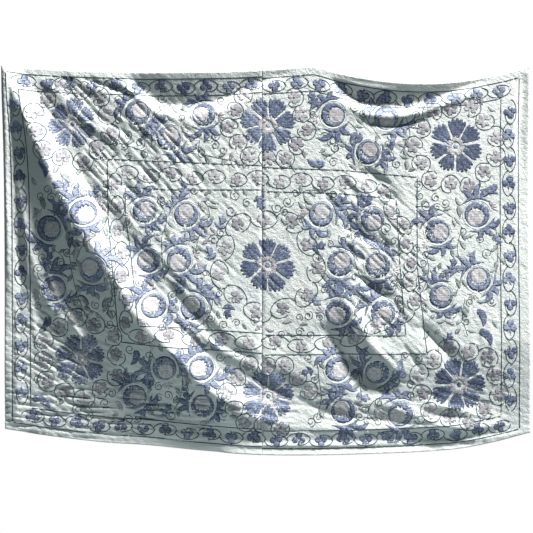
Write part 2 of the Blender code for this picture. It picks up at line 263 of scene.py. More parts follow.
def route_line(route, steps):
    """Evenly spaced points on the smooth curve through a route."""
    route = np.array(route, float)
    along = distances(route)
    where = np.linspace(0.0, along[-1], steps)
    return np.column_stack([smooth_line(np.column_stack([along, axis]), where) for axis in route.T])


def spread(values, share):
    """Reads a row of values, evenly spaced from 0 to 1, at share."""
    return np.interp(share, np.linspace(0.0, 1.0, len(values)), values)


def flank(distance, width, edge):
    """1 at the crest and 0 past the flank's width, with soft corners."""
    s = distance / width
    return 0.5 * (1.0 + np.sqrt((s - 1.0) ** 2 + edge ** 2) - np.sqrt(s ** 2 + edge ** 2))


def fold_forward(fold, across, down):
    """How far one fold brings each point of the cloth forward."""
    line = route_line(fold.route, ROUTE_STEPS)
    nearest = np.full(across.shape, np.inf)
    side = np.zeros(across.shape)
    share = np.zeros(across.shape)
    for step, (start, end) in enumerate(zip(line[:-1], line[1:])):
        run_across, run_down = end - start
        length_squared = run_across ** 2 + run_down ** 2
        part = ((across - start[0]) * run_across + (down - start[1]) * run_down) / length_squared
        part = np.clip(part, 0.0, 1.0)
        off_across = across - start[0] - part * run_across
        off_down = down - start[1] - part * run_down
        distance = np.hypot(off_across, off_down)
        closer = distance < nearest
        nearest = np.where(closer, distance, nearest)
        side = np.where(closer, run_down * off_across - run_across * off_down, side)
        share = np.where(closer, (step + part) / (ROUTE_STEPS - 1), share)
    width = np.where(side > 0.0, spread(fold.upper, share), spread(fold.lower, share))
    end_share = np.clip(np.minimum(share, 1.0 - share) / FADED_END, 0.0, 1.0)
    fade = end_share ** 2 * (3.0 - 2.0 * end_share)
    return spread(fold.rise, share) * flank(nearest, width, fold.edge) * fade


def add_near(total, across, down, fold):
    """Adds one fold to the map, working only on the part of it that the fold reaches."""
    reach = 1.6 * max(max(fold.upper), max(fold.lower))
    route = np.array(fold.route, float)
    low, high = route.min(axis=0) - reach, route.max(axis=0) + reach
    columns = np.flatnonzero((across[0] > low[0]) & (across[0] < high[0]))
    rows = np.flatnonzero((down[:, 0] > low[1]) & (down[:, 0] < high[1]))
    part = np.s_[rows[0]:rows[-1] + 1, columns[0]:columns[-1] + 1]
    total[part] += fold_forward(fold, across[part], down[part])


def wrinkle_noise(shape, wrinkle, seed):
    """Seeded noise whose ripples have the wrinkle's size and slant."""
    noise = np.random.default_rng(seed).standard_normal(shape)
    step_down = np.fft.fftfreq(shape[0], MAP_STEP)[:, None]
    step_across = np.fft.fftfreq(shape[1], MAP_STEP)[None, :]
    slant = math.radians(wrinkle.slant)
    along = step_across * math.cos(slant) + step_down * math.sin(slant)
    over = -step_across * math.sin(slant) + step_down * math.cos(slant)
    band = np.exp(-((np.abs(over) * wrinkle.across - 1.0) / 0.45) ** 2)
    band *= np.exp(-(along * wrinkle.along) ** 2)
    ripples = np.fft.ifft2(np.fft.fft2(noise) * band).real
    ripples /= ripples.std()
    # Sharp at the crests and round in between, as creased cotton is
    return 0.5 * ripples - 0.8 * np.sqrt(ripples ** 2 + 0.08)


def soften(height):
    """Evens the map out a little, to close the lines where two runs of a fold meet."""
    for _ in range(SOFTENING_PASSES):
        padded = np.pad(height, 1, mode="edge")
        height = (padded[:-2, 1:-1] + padded[2:, 1:-1] + padded[1:-1, :-2] + padded[1:-1, 2:]
                  + 4.0 * height) / 8.0
    return height


def cloth_map():
    """The height of the hung cloth over its whole face, on a fine even map."""
    across_line = np.arange(-MAP_MARGIN, HUNG_WIDTH + MAP_MARGIN, MAP_STEP)
    down_line = np.arange(-MAP_MARGIN, MAP_BOTTOM + MAP_MARGIN, MAP_STEP)
    across, down = np.meshgrid(across_line, down_line)
    height = np.zeros(across.shape)
    for fold in FOLDS:
        add_near(height, across, down, fold)
    height = soften(height)
    for crease in CREASES:
        route = [crease.start, crease.bend, crease.end]
        rise = (0.3 * crease.rise, crease.rise, crease.rise, 0.3 * crease.rise)
        add_near(height, across, down, Fold("crease", route, rise, (crease.width,), (crease.width,), 0.3))
    calm = np.zeros(across.shape)
    for place in CALM:
        add_near(calm, across, down, place)
    lively = 1.0 - np.clip(calm, 0.0, 1.0)
    for seed, wrinkle in enumerate(WRINKLES):
        off_across = (across - wrinkle.middle[0]) / wrinkle.reach[0]
        off_down = (down - wrinkle.middle[1]) / wrinkle.reach[1]
        share = np.exp(-(off_across ** 2 + off_down ** 2))
        height += wrinkle.rise * share * lively * wrinkle_noise(height.shape, wrinkle, seed)
    return height


HEIGHT = cloth_map()
SLOPE_DOWN, SLOPE_ACROSS = np.gradient(HEIGHT, MAP_STEP)


def read_map(values, across, down):
    """Reads a map between its points."""
    column = np.clip((across + MAP_MARGIN) / MAP_STEP, 0.0, values.shape[1] - 1.001)
    row = np.clip((down + MAP_MARGIN) / MAP_STEP, 0.0, values.shape[0] - 1.001)
    left, top = column.astype(int), row.astype(int)
    right_share, low_share = column - left, row - top
    upper = values[top, left] * (1.0 - right_share) + values[top, left + 1] * right_share
    lower = values[top + 1, left] * (1.0 - right_share) + values[top + 1, left + 1] * right_share
    return upper * (1.0 - low_share) + lower * low_share


def top_edge(across):
    """The top edge's depth below the hanging points."""
    down = np.zeros(np.shape(across))
    for scoop in TOP_SCOOPS:
        share = (across - scoop.start) / (scoop.end - scoop.start)
        down = down + np.where((share > 0.0) & (share < 1.0), 4.0 * scoop.sag * share * (1.0 - share), 0.0)
    return down


def hem_edge(across):
    """The hem's depth below the hanging points."""
    return smooth_line(HEM_DOWN, across)


def hang(points):
    """Hangs flat points (across, -down, lift in centimetres) on the cloth, in metres."""
    flat_across, down, lift = points[:, 0], -points[:, 1], points[:, 2]
    top = top_edge(flat_across)
    drop = np.clip((down - top) / (hem_edge(flat_across) - top), 0.0, 1.0)
    off_middle = 2.0 * flat_across / HUNG_WIDTH - 1.0
    across = flat_across - SIDE_PULL * off_middle * np.sin(np.pi * drop)
    height = read_map(HEIGHT, across, down)
    slope_across = read_map(SLOPE_ACROSS, across, down)
    slope_down = read_map(SLOPE_DOWN, across, down)
    steepness = np.sqrt(1.0 + slope_across ** 2 + slope_down ** 2)
    x = across - lift * slope_across / steepness
    forward = height + lift / steepness
    low = down - lift * slope_down / steepness
    return np.column_stack([LEFT_EDGE + x * CM, -forward * CM, TOP_POINT - low * CM])


def hex_colour(code):
    """An sRGB hex colour as linear red, green and blue."""
    parts = [int(code[i:i + 2], 16) / 255.0 for i in (1, 3, 5)]
    linear = [part / 12.92 if part <= 0.04045 else ((part + 0.055) / 1.055) ** 2.4 for part in parts]
    return (*linear, 1.0)


def add_node(tree, kind, settings=None, links=None):
    """Adds a shader node, sets its properties and sockets, and links its inputs."""
    node = tree.nodes.new(kind)
    for name, value in (settings or {}).items():
        if isinstance(name, int) or name in node.inputs:
            node.inputs[name].default_value = value
        else:
            setattr(node, name, value)
    for name, source in (links or {}).items():
        tree.links.new(source, node.inputs[name])
    return node


def new_material(name, roughness, sheen, specular):
    """A material with its base finish. Returns it, its node tree and its shader."""
    material = bpy.data.materials.new(name)
    material.use_nodes = True
    tree = material.node_tree
    shader = tree.nodes["Principled BSDF"]
    shader.inputs["Roughness"].default_value = roughness
    shader.inputs["Sheen Weight"].default_value = sheen
    shader.inputs["Specular IOR Level"].default_value = specular
    return material, tree, shader


def set_stops(band, stops):
    """Gives a colour band its row of (place, hex colour)."""
    while len(band.elements) < len(stops):
        band.elements.new(0.5)
    for element, (place, code) in zip(band.elements, stops):
        element.position = place
        element.color = hex_colour(code)


# At scale 1 a wave texture repeats every 0.314 m
WAVE_REPEAT = 0.314


def plain_weave_cotton():
    """Hand-loomed cotton, plain woven and washed: a matt pale sage ground, crumpled all over."""
    material, tree, shader = new_material("plain_weave_cotton", 0.9, 0.15, 0.2)
    place = add_node(tree, "ShaderNodeTexCoord").outputs["Object"]
    # Slubby threads, 1.6 mm apart both ways
    weft, warp = (add_node(tree, "ShaderNodeTexWave",
                           {"bands_direction": way, "Scale": WAVE_REPEAT / (1.6 * MM), "Distortion": 1.2,
                            "Detail": 2.0, "Detail Scale": 1.4}, {"Vector": place})
                  for way in ("Z", "X"))
    weave = add_node(tree, "ShaderNodeMath", {"operation": "MULTIPLY"},
                     {0: weft.outputs["Fac"], 1: warp.outputs["Fac"]})
    # Crumples about 15 mm across, and crinkles of 6 mm on them
    crumple, crinkle = (add_node(tree, "ShaderNodeTexNoise",
                                 {"Scale": scale, "Detail": 3.0, "Roughness": 0.6, "Distortion": distortion},
                                 {"Vector": place})
                        for scale, distortion in ((66.0, 0.8), (170.0, 0.6)))
    cloud = add_node(tree, "ShaderNodeTexNoise", {"Scale": 5.0, "Detail": 5.0, "Roughness": 0.6},
                     {"Vector": place})
    tint = add_node(tree, "ShaderNodeValToRGB", links={"Fac": cloud.outputs["Fac"]})
    set_stops(tint.color_ramp, [(0.3, "#BABEBA"), (0.5, "#C2C5C1"), (0.72, "#CACBC6")])
    tree.links.new(tint.outputs["Color"], shader.inputs["Base Color"])
    woven = add_node(tree, "ShaderNodeBump", {"Strength": 0.25, "Distance": 0.3 * MM},
                     {"Height": weave.outputs["Value"]})
    crinkled = add_node(tree, "ShaderNodeBump", {"Strength": 0.8, "Distance": 2.0 * MM},
                        {"Height": crinkle.outputs["Fac"], "Normal": woven.outputs["Normal"]})
    crumpled = add_node(tree, "ShaderNodeBump", {"Strength": 0.8, "Distance": 5.0 * MM},
                        {"Height": crumple.outputs["Fac"], "Normal": crinkled.outputs["Normal"]})
    tree.links.new(crumpled.outputs["Normal"], shader.inputs["Normal"])
    return material


def laid_thread(name, dark, middle, light, row_depth):
    """Silk-like thread laid side by side and tied down in level rows: a soft sheen, a faint
    line at each row and a mottled tone."""
    material, tree, shader = new_material(name, 0.55, 0.25, 0.35)
    place = add_node(tree, "ShaderNodeTexCoord").outputs["Object"]
    stitch = add_node(tree, "ShaderNodeAttribute", {"attribute_name": "stitch"})
    parts = add_node(tree, "ShaderNodeSeparateXYZ", links={"Vector": stitch.outputs["Vector"]})
    # The tied rows lie about 7 mm apart
    rows = add_node(tree, "ShaderNodeTexWave",
                    {"bands_direction": "Z", "Scale": WAVE_REPEAT / (7.0 * MM), "Distortion": 4.0,
                     "Detail": 2.0, "Detail Scale": 2.0}, {"Vector": place})
    # Threads are 2 mm wide and run upright
    stretched = add_node(tree, "ShaderNodeMapping", {"Scale": (420.0, 420.0, 60.0)}, {"Vector": place})
    threads = add_node(tree, "ShaderNodeTexNoise", {"Scale": 1.0, "Detail": 2.0},
                       {"Vector": stretched.outputs["Vector"]})
    mottle = add_node(tree, "ShaderNodeTexNoise", {"Scale": 105.0, "Detail": 3.0, "Roughness": 0.6},
                      {"Vector": place})
    tone = parts.outputs["Z"]
    for source, share in ((threads, 0.6), (mottle, 0.9), (rows, row_depth)):
        mixed = add_node(tree, "ShaderNodeMath", {"operation": "MULTIPLY_ADD", 1: share},
                         {0: source.outputs["Fac"], 2: tone})
        tone = mixed.outputs["Value"]
    tint = add_node(tree, "ShaderNodeValToRGB", links={"Fac": tone})
    set_stops(tint.color_ramp, [(0.48, dark), (0.8, middle), (1.0, light)])
    tree.links.new(tint.outputs["Color"], shader.inputs["Base Color"])
    ridged = add_node(tree, "ShaderNodeBump", {"Strength": 0.5, "Distance": 0.5 * MM},
                      {"Height": threads.outputs["Fac"]})
    tied = add_node(tree, "ShaderNodeBump", {"Strength": 0.4, "Distance": 0.8 * MM},
                    {"Height": rows.outputs["Fac"], "Normal": ridged.outputs["Normal"]})
    tree.links.new(tied.outputs["Normal"], shader.inputs["Normal"])
    return material


def chain_stitched_thread(name, dark, light):
    """One line of chain stitch: a twisted thread that shows as small links along the line."""
    material, tree, shader = new_material(name, 0.65, 0.15, 0.3)
    stitch = add_node(tree, "ShaderNodeAttribute", {"attribute_name": "stitch"})
    # The attribute runs along the line in centimetres, and a link is 5 mm long
    links = add_node(tree, "ShaderNodeTexWave", {"bands_direction": "X", "Scale": WAVE_REPEAT / 0.5},
                     {"Vector": stitch.outputs["Vector"]})
    tint = add_node(tree, "ShaderNodeValToRGB", links={"Fac": links.outputs["Fac"]})
    set_stops(tint.color_ramp, [(0.1, dark), (0.9, light)])
    tree.links.new(tint.outputs["Color"], shader.inputs["Base Color"])
    linked = add_node(tree, "ShaderNodeBump", {"Strength": 0.6, "Distance": 0.6 * MM},
                      {"Height": links.outputs["Fac"]})
    tree.links.new(linked.outputs["Normal"], shader.inputs["Normal"])
    return material


# Relief of the stitches, in centimetres. They are tucked through the cloth, so that
# their undersides show on its back. The outline depth is a step in tone at a patch's rim.
PATCH_LIFT = 0.065
CROWN_LIFT = 0.075
PATCH_RIM = 0.015
LINE_LIFT = 0.06
LINE_HALF_WIDTH = 0.37
FRAME_HALF_WIDTH = 0.42
CURL_HALF_WIDTH = 0.3
STEM_HALF_WIDTH = 0.28
TUCK = 0.125
OUTLINE_DEPTH = 0.32
LINE_STEP = 0.5
# A stitched line's section: each corner's share of the half width, and its height
LINE_SECTION = ((-0.8, -TUCK), (-0.42, LINE_LIFT), (0.42, LINE_LIFT), (0.8, -TUCK), (-0.8, -TUCK))

chance = random.Random(7)


def new_work():
    """An empty flat mesh for one kind of stitching, with the layer that its thread reads:
    X runs along a line in centimetres, or along a patch from 0 to 1, and Z is a patch's tone."""
    work = bmesh.new()
    work.verts.layers.float_vector.new("stitch")
    return work


def patch(work, rows, columns, place, tone=None, lift=PATCH_LIFT, lines=None):
    """Adds one closed patch of stitches, slightly domed, whose shape place gives from
    s, 0 to 1 along it, and q, -1 to 1 across it. Its rim is outlined in a darker tone,
    and so are the lines that lines gives."""
    tone = chance.uniform(-0.12, 0.12) if tone is None else tone
    layer = work.verts.layers.float_vector["stitch"]
    under = bmesh.ops.create_grid(work, x_segments=rows, y_segments=columns, size=0.5)["verts"]
    faces = list({face for vert in under for face in vert.link_faces})
    grown = bmesh.ops.extrude_face_region(work, geom=faces)["geom"]
    over = [item for item in grown if isinstance(item, bmesh.types.BMVert)]
    for verts, on_top in ((under, False), (over, True)):
        flat = np.array([vert.co[:2] for vert in verts])
        s, q = flat[:, 0] + 0.5, 2.0 * flat[:, 1]
        across, up = place(s, q)
        from_rim = np.minimum(np.minimum(s, 1.0 - s) * rows, (1.0 - np.abs(q)) * columns / 2.0)
        domed = np.where(from_rim > 0.5, lift * (0.82 + 0.18 * (1.0 - q * q)), PATCH_RIM)
        height = domed if on_top else np.full(len(s), -TUCK)
        shade = tone - OUTLINE_DEPTH * (from_rim < 0.5)
        if lines is not None:
            shade = shade - OUTLINE_DEPTH * lines(s, q)
        for vert, a, b, c, along, dark in zip(verts, across, up, height, s, shade):
            vert.co = (a, b, c)
            vert[layer] = (along, 0.0, dark)


def stroke(work, spine, half_width, rows, columns=3, tone=None, lift=PATCH_LIFT):
    """A leaf-like patch on a curved spine of (across, down) points, with half its width
    given by half_width(s)."""
    line = route_line(spine, 24)
    share = np.linspace(0.0, 1.0, 24)
    slopes = np.gradient(line, axis=0)

    def place(s, q):
        a, d = np.interp(s, share, line[:, 0]), np.interp(s, share, line[:, 1])
        run_a, run_d = np.interp(s, share, slopes[:, 0]), np.interp(s, share, slopes[:, 1])
        run = np.hypot(run_a, run_d)
        wide = half_width(s) * q
        return a - wide * run_d / run, -(d + wide * run_a / run)

    patch(work, rows, columns, place, tone, lift)


def leaf_width(width, fullest=0.45):
    """Half the width of a pointed leaf, widest at the share fullest of its length."""
    def half_width(s):
        low = np.clip(s / fullest, 0.0, 1.0)
        high = np.clip((1.0 - s) / (1.0 - fullest), 0.0, 1.0)
        swell = np.minimum(np.sin(0.5 * np.pi * low), np.sin(0.5 * np.pi * high) ** 0.8)
        return 0.5 * width * np.maximum(swell, 0.02)
    return half_width


def lobe_width(width):
    """Half the width of a lobe with round ends."""
    def half_width(s):
        return 0.5 * width * np.sqrt(np.clip(1.0 - (2.0 * s - 1.0) ** 2, 0.006, 1.0))
    return half_width


def teardrop_width(width):
    """Half the width of a drop that is round at its start and pointed at its end."""
    def half_width(s):
        return 0.5 * width * np.maximum(1.9 * np.sqrt(np.clip(s, 0.0, 1.0)) * (1.0 - s) ** 0.85, 0.02)
    return half_width


def stitched_line(work, points, half_width=LINE_HALF_WIDTH, step=LINE_STEP):
    """A line of chain stitch along (across, down) points: a closed thread, four-sided."""
    points = np.array(points, float)
    along = distances(points)
    count = max(2, int(round(along[-1] / step)))
    where = np.linspace(0.0, along[-1], count + 1)
    a, d = np.interp(where, along, points[:, 0]), np.interp(where, along, points[:, 1])
    run_a, run_d = np.gradient(a), np.gradient(d)
    run = np.maximum(np.hypot(run_a, run_d), 1e-6)
    layer = work.verts.layers.float_vector["stitch"]
    verts = bmesh.ops.create_grid(work, x_segments=count, y_segments=4, size=0.5)["verts"]
    for vert in verts:
        i = round((vert.co.x + 0.5) * count)
        side, height = LINE_SECTION[round((vert.co.y + 0.5) * 4)]
        wide = 0.0 if i in (0, count) else half_width * side
        height = -TUCK if i in (0, count) else height
        vert.co = (a[i] - wide * run_d[i] / run[i], -(d[i] + wide * run_a[i] / run[i]), height)
        vert[layer] = (where[i], 0.0, 0.0)


def turned(points, middle, degrees, scale=1.0):
    """Turns points about (0, 0), clockwise as seen, and moves them to the middle."""
    angle = math.radians(degrees)
    points = np.array(points, float) * scale
    a = points[:, 0] * math.cos(angle) - points[:, 1] * math.sin(angle)
    d = points[:, 0] * math.sin(angle) + points[:, 1] * math.cos(angle)
    return np.column_stack([a + middle[0], d + middle[1]])


STALK_TURN = 1.9
SCROLL_STEP = 0.46


def scroll(work, line, lobes, swing):
    """A vine that winds round one flower after another, on each side of the line in turn,
    and sends a curled stalk to each. Returns each flower's middle and the way its top lobe
    points, in degrees."""
    line = np.array(line, float)
    along = distances(line)
    half_pitch = 0.5 * along[-1] / lobes

    def off_line(way, off):
        a, d = np.interp(way, along, line[:, 0]), np.interp(way, along, line[:, 1])
        ahead, behind = np.clip(way + 0.5, 0.0, along[-1]), np.clip(way - 0.5, 0.0, along[-1])
        run_a = np.interp(ahead, along, line[:, 0]) - np.interp(behind, along, line[:, 0])
        run_d = np.interp(ahead, along, line[:, 1]) - np.interp(behind, along, line[:, 1])
        run = np.hypot(run_a, run_d)
        return np.column_stack([a + off * run_d / run, d - off * run_a / run])

    vine = []
    spots = []
    for lobe in range(lobes):
        side = 1 if lobe % 2 == 0 else -1
        middle = (2 * lobe + 1) * half_pitch
        turn = np.linspace(math.pi, 0.0, 17)
        vine.append(off_line(middle + 1.06 * half_pitch * np.cos(turn), side * swing * np.sin(turn)))
        curl = np.linspace(0.0, 1.0, 11)
        shrink = 1.0 - 0.45 * curl
        stalk = off_line(middle + half_pitch * shrink * np.cos(STALK_TURN * curl),
                         -side * swing * shrink * np.sin(STALK_TURN * curl))
        stitched_line(work, stalk, step=SCROLL_STEP)
        top, foot = off_line(np.array([middle, middle]), np.array([0.2 * side * swing, -0.2 * side * swing]))
        way_a, way_d = top - foot
        spot = off_line(np.array([middle]), np.array([0.04 * side * swing]))[0]
        spots.append((spot[0], spot[1], math.degrees(math.atan2(way_d, way_a))))
    stitched_line(work, np.concatenate(vine), step=SCROLL_STEP)
    return spots


THREE_LOBES = ((0.0, 0.60, 0.54), (98.0, 0.52, 0.54), (-98.0, 0.52, 0.54))
FIVE_LOBES = ((0.0, 0.66, 0.46), (52.0, 0.56, 0.40), (-52.0, 0.56, 0.40), (106.0, 0.44, 0.36),
              (-106.0, 0.44, 0.36))


def trefoil(work, middle, degrees, size, lobes=THREE_LOBES):
    """A flower of round lobes on a short stalk. Its top lobe points along degrees."""
    tone = chance.uniform(-0.12, 0.12)
    size *= chance.uniform(0.93, 1.07)
    degrees += chance.uniform(-12.0, 12.0)
    for lobe_turn, length, width in lobes:
        spine = turned([(0.02, 0.0), (0.5 * length, 0.0), (length, 0.0)], middle, degrees + lobe_turn, size)
        stroke(work, spine, lobe_width(width * size), rows=5, columns=4, tone=tone)
    stalk = turned([(-0.02, 0.0), (-0.3, 0.03), (-0.52, 0.1)], middle, degrees, size)
    stroke(work, stalk, leaf_width(0.16 * size, 0.3), rows=3, columns=2, tone=tone)


TOOTH_COUNT = 5
PETAL_GAP = 0.42


def rosette(petal_work, heart_work, middle, radius, petals, turn, tone):
    """A large round flower: fan petals with toothed tips, parted by thin lines of bare ground."""
    part = 360.0 / petals
    for petal in range(petals):
        facing = math.radians(turn + petal * part + chance.uniform(-2.0, 2.0))
        reach = radius * chance.uniform(0.94, 1.06)
        half_part = math.radians(0.5 * part)

        def place(s, q, facing=facing, reach=reach):
            teeth = 0.11 * (np.sqrt(np.abs(np.cos(0.5 * TOOTH_COUNT * np.pi * q))) - 1.0) - 0.13 * q * q
            out = reach * (0.3 + 0.73 * s + teeth * s ** 4)
            angle = facing + q * (half_part - PETAL_GAP / out)
            return middle[0] + out * np.cos(angle), -(middle[1] + out * np.sin(angle))

        def between_fingers(s, q):
            return (np.abs(np.cos(0.5 * TOOTH_COUNT * np.pi * q)) < 0.1) * np.clip(2.0 * s - 0.7, 0.0, 1.0)

        # The rosette's tone is painted shade, and each petal adds a small random step of tone to it.
        petal_tone = tone + chance.uniform(-0.07, 0.07)
        patch(petal_work, 11, 4 * TOOTH_COUNT, place, tone=petal_tone, lines=between_fingers)
        for ray in (-0.95, -0.6, -0.2, 0.2, 0.6):
            start, end = 0.14 * radius, radius * chance.uniform(0.3, 0.5)
            way = facing + ray * half_part
            spine = [round_point(middle, out, way) for out in (start, 0.5 * (start + end), end)]
            stroke(heart_work, spine, leaf_width(0.12 * radius, 0.5), rows=4, columns=2)
    spot = [(-0.1, 0.0), (0.0, 0.0), (0.1, 0.0)]
    stroke(petal_work, turned(spot, middle, 60.0, radius), lobe_width(0.17 * radius), rows=5, columns=4)


def round_point(middle, out, angle):
    """The point at a distance and an angle, in radians, from a middle."""
    return middle[0] + out * math.cos(angle), middle[1] + out * math.sin(angle)


# A crown's band: where each of its points lies in the sweep, and how far it flares
CROWN_BAND = ((-1.3, 0.16), (-0.9, 0.0), (-0.4, 0.0), (0.4, 0.0), (0.9, 0.0), (1.3, 0.16))
CROWN_LEAVES = 3


def crown(work, middle, radius, facing, hand, length, tone):
    """A calyx: a band that hugs the fruit's ring, with flame leaves that fan out from it and
    lean a little to one hand."""
    centre = math.radians(facing)
    half_sweep = 0.25 * CROWN_LEAVES
    hug = [round_point(middle, (1.34 + flare) * radius, centre + half_sweep * share)
           for share, flare in CROWN_BAND]
    stroke(work, hug, leaf_width(0.34 * radius, 0.5), rows=16, columns=3, tone=tone, lift=CROWN_LIFT)
    for number in range(CROWN_LEAVES):
        share = 2.0 * (number + 0.5) / CROWN_LEAVES - 1.0
        base = centre + 0.5 * half_sweep * share
        reach = length * (1.0 - 0.26 * abs(share)) * chance.uniform(0.9, 1.12)
        lean = 0.14 * hand + 0.5 * share
        spine = [round_point(middle, 1.2 * radius + out * reach, base + bend * lean)
                 for out, bend in ((0.0, 0.0), (0.4, 0.3), (0.76, 0.75), (1.0, 1.4))]
        stroke(work, spine, leaf_width(0.52 * radius, 0.32), rows=12, columns=4, tone=tone, lift=CROWN_LIFT)


def tuft(work, middle, radius, facing):
    """A small fan of short strokes on the fruit's ring."""
    tone = chance.uniform(-0.12, 0.12)
    foot = round_point(middle, 1.22 * radius, math.radians(facing))
    for lean in (-62.0, -31.0, 0.0, 31.0, 62.0):
        way = math.radians(facing + lean)
        reach = radius * chance.uniform(0.5, 0.66)
        spine = [round_point(foot, share * reach, way) for share in (0.05, 0.5, 1.0)]
        stroke(work, spine, lobe_width(0.2 * radius), rows=4, columns=2, tone=tone)


def pomegranate(blue, heart, pale, middle, radius, fruit):
    """A round fruit: a taupe heart in a blue rim that is deepest on one side, a pale ring,
    two blue crowns of flame leaves, and on all but one a taupe tuft."""
    deep = math.radians(fruit.deep_side)
    tone = chance.uniform(-0.1, 0.1)

    def rim(s, q):
        angle = 2.0 * np.pi * s + deep
        facing = np.cos(angle - deep)
        scallops = 0.18 * np.abs(np.cos(5.5 * (angle - deep))) * np.clip(facing + 0.5, 0.0, 1.0)
        inner = radius * (0.56 - 0.3 * facing + scallops)
        out = inner + (radius - inner) * 0.5 * (q + 1.0)
        return middle[0] + out * np.cos(angle), -(middle[1] + out * np.sin(angle))

    def core(s, q):
        # A square laid out as a disc, a little larger than the rim's opening
        x, y = 2.0 * s - 1.0, q
        disc_x, disc_y = x * np.sqrt(1.0 - 0.5 * y * y), y * np.sqrt(1.0 - 0.5 * x * x)
        away, size = 0.27 * radius, 0.66 * radius
        return (middle[0] - away * math.cos(deep) + size * disc_x,
                -(middle[1] - away * math.sin(deep) + size * disc_y))

    def ring(s, q):
        angle = 2.0 * np.pi * s
        out = radius * (1.12 + 0.045 * q)
        return middle[0] + out * np.cos(angle), -(middle[1] + out * np.sin(angle))

    patch(heart, 11, 11, core, tone, lift=0.045)
    patch(blue, 45, 3, rim, tone)
    patch(pale, 45, 2, ring, 0.0, lift=0.01)
    hand = chance.choice((-1, 1))
    crown(blue, middle, radius, fruit.crown, hand, 1.32 * radius, tone)
    crown(blue, middle, radius, fruit.foot, -hand, 0.85 * radius, tone)
    if fruit.tuft is not None:
        tuft(heart, middle, radius, fruit.tuft)


SPIRAL_TURNS = 1.55


def spiral(work, middle, size, degrees, hand):
    """A small curled tendril."""
    turns = np.linspace(0.0, 1.0, 22)
    angle = math.radians(degrees) + hand * turns * 2.0 * np.pi * SPIRAL_TURNS
    out = 1.3 * size * (1.0 - 0.85 * turns)
    stitched_line(work, np.column_stack([middle[0] + out * np.cos(angle), middle[1] + out * np.sin(angle)]),
                  half_width=CURL_HALF_WIDTH)


def paisley(work, middle, degrees, length):
    """A drop with a round head and a curved tip."""
    spine = [(-0.5, 0.0), (-0.12, -0.1), (0.2, -0.04), (0.5, 0.2)]
    spine = turned(spine, middle, degrees, length)
    stroke(work, spine, teardrop_width(0.56 * length), rows=9, columns=5)


def sprig(work, middle, degrees, size):
    """A small tulip: three pointed leaves on a curved foot."""
    tone = chance.uniform(-0.12, 0.12)
    foot = turned([(-0.18, -0.5), (-0.34, -0.2), (-0.36, 0.15), (-0.12, 0.52)], middle, degrees, size)
    stroke(work, foot, leaf_width(0.46 * size, 0.5), rows=7, columns=3, tone=tone)
    for turn, length, width in ((0.0, 0.86, 0.44), (42.0, 0.7, 0.34), (-42.0, 0.7, 0.34)):
        spine = turned([(-0.3, 0.0), (0.3 * length, 0.06), (0.72 * length, 0.0)], (0.0, 0.0), turn, size)
        spine = turned(spine, middle, degrees)
        stroke(work, spine, leaf_width(width * size, 0.5), rows=6, columns=3, tone=tone)


def leaf(work, middle, degrees, length, width):
    """A single pointed leaf, bent a little."""
    spine = turned([(-0.5, 0.0), (0.0, -0.07), (0.5, 0.0)], middle, degrees, length)
    stroke(work, spine, leaf_width(width, 0.45), rows=6, columns=3)


def ring_line(middle, across_radius, down_radius, start_degrees, sweep_degrees):
    """Points on an oval, or on a part of it."""
    angles = np.radians(np.linspace(start_degrees, start_degrees + sweep_degrees, 97))
    return np.column_stack([middle[0] + across_radius * np.cos(angles),
                            middle[1] + down_radius * np.sin(angles)])


# The flat pattern. Angles are clockwise from the right, in degrees.
Rosette = namedtuple("Rosette", "across down radius petals turn ring_across ring_down"
                     " flowers start sweep tone")
# A rosette's tone is painted shade: it darkens the rosette's petals, the two on the right most.
ROSETTES = [
    Rosette(28.8, 24.2, 10.6, 7, 20, 15.6, 15.4, 12, 0, 360, -0.02),
    Rosette(110.7, 24.0, 11.4, 7, 90, 15.6, 14.6, 11, -62, 306, -0.05),
    Rosette(189.2, 32.9, 11.2, 7, 66, 16.8, 16.6, 13, 0, 360, -0.16),
    Rosette(110.4, 82.5, 11.8, 7, 12, 19.8, 19.8, 11, 20, 360, -0.05),
    Rosette(31.7, 122.1, 10.8, 7, 40, 16.2, 16.4, 12, 10, 360, 0.0),
    Rosette(110.8, 137.1, 11.2, 7, 90, 16.4, 13.2, 11, 60, 306, -0.02),
    Rosette(190.4, 132.1, 11.2, 7, 100, 16.6, 15.0, 12, 0, 360, -0.12),
]

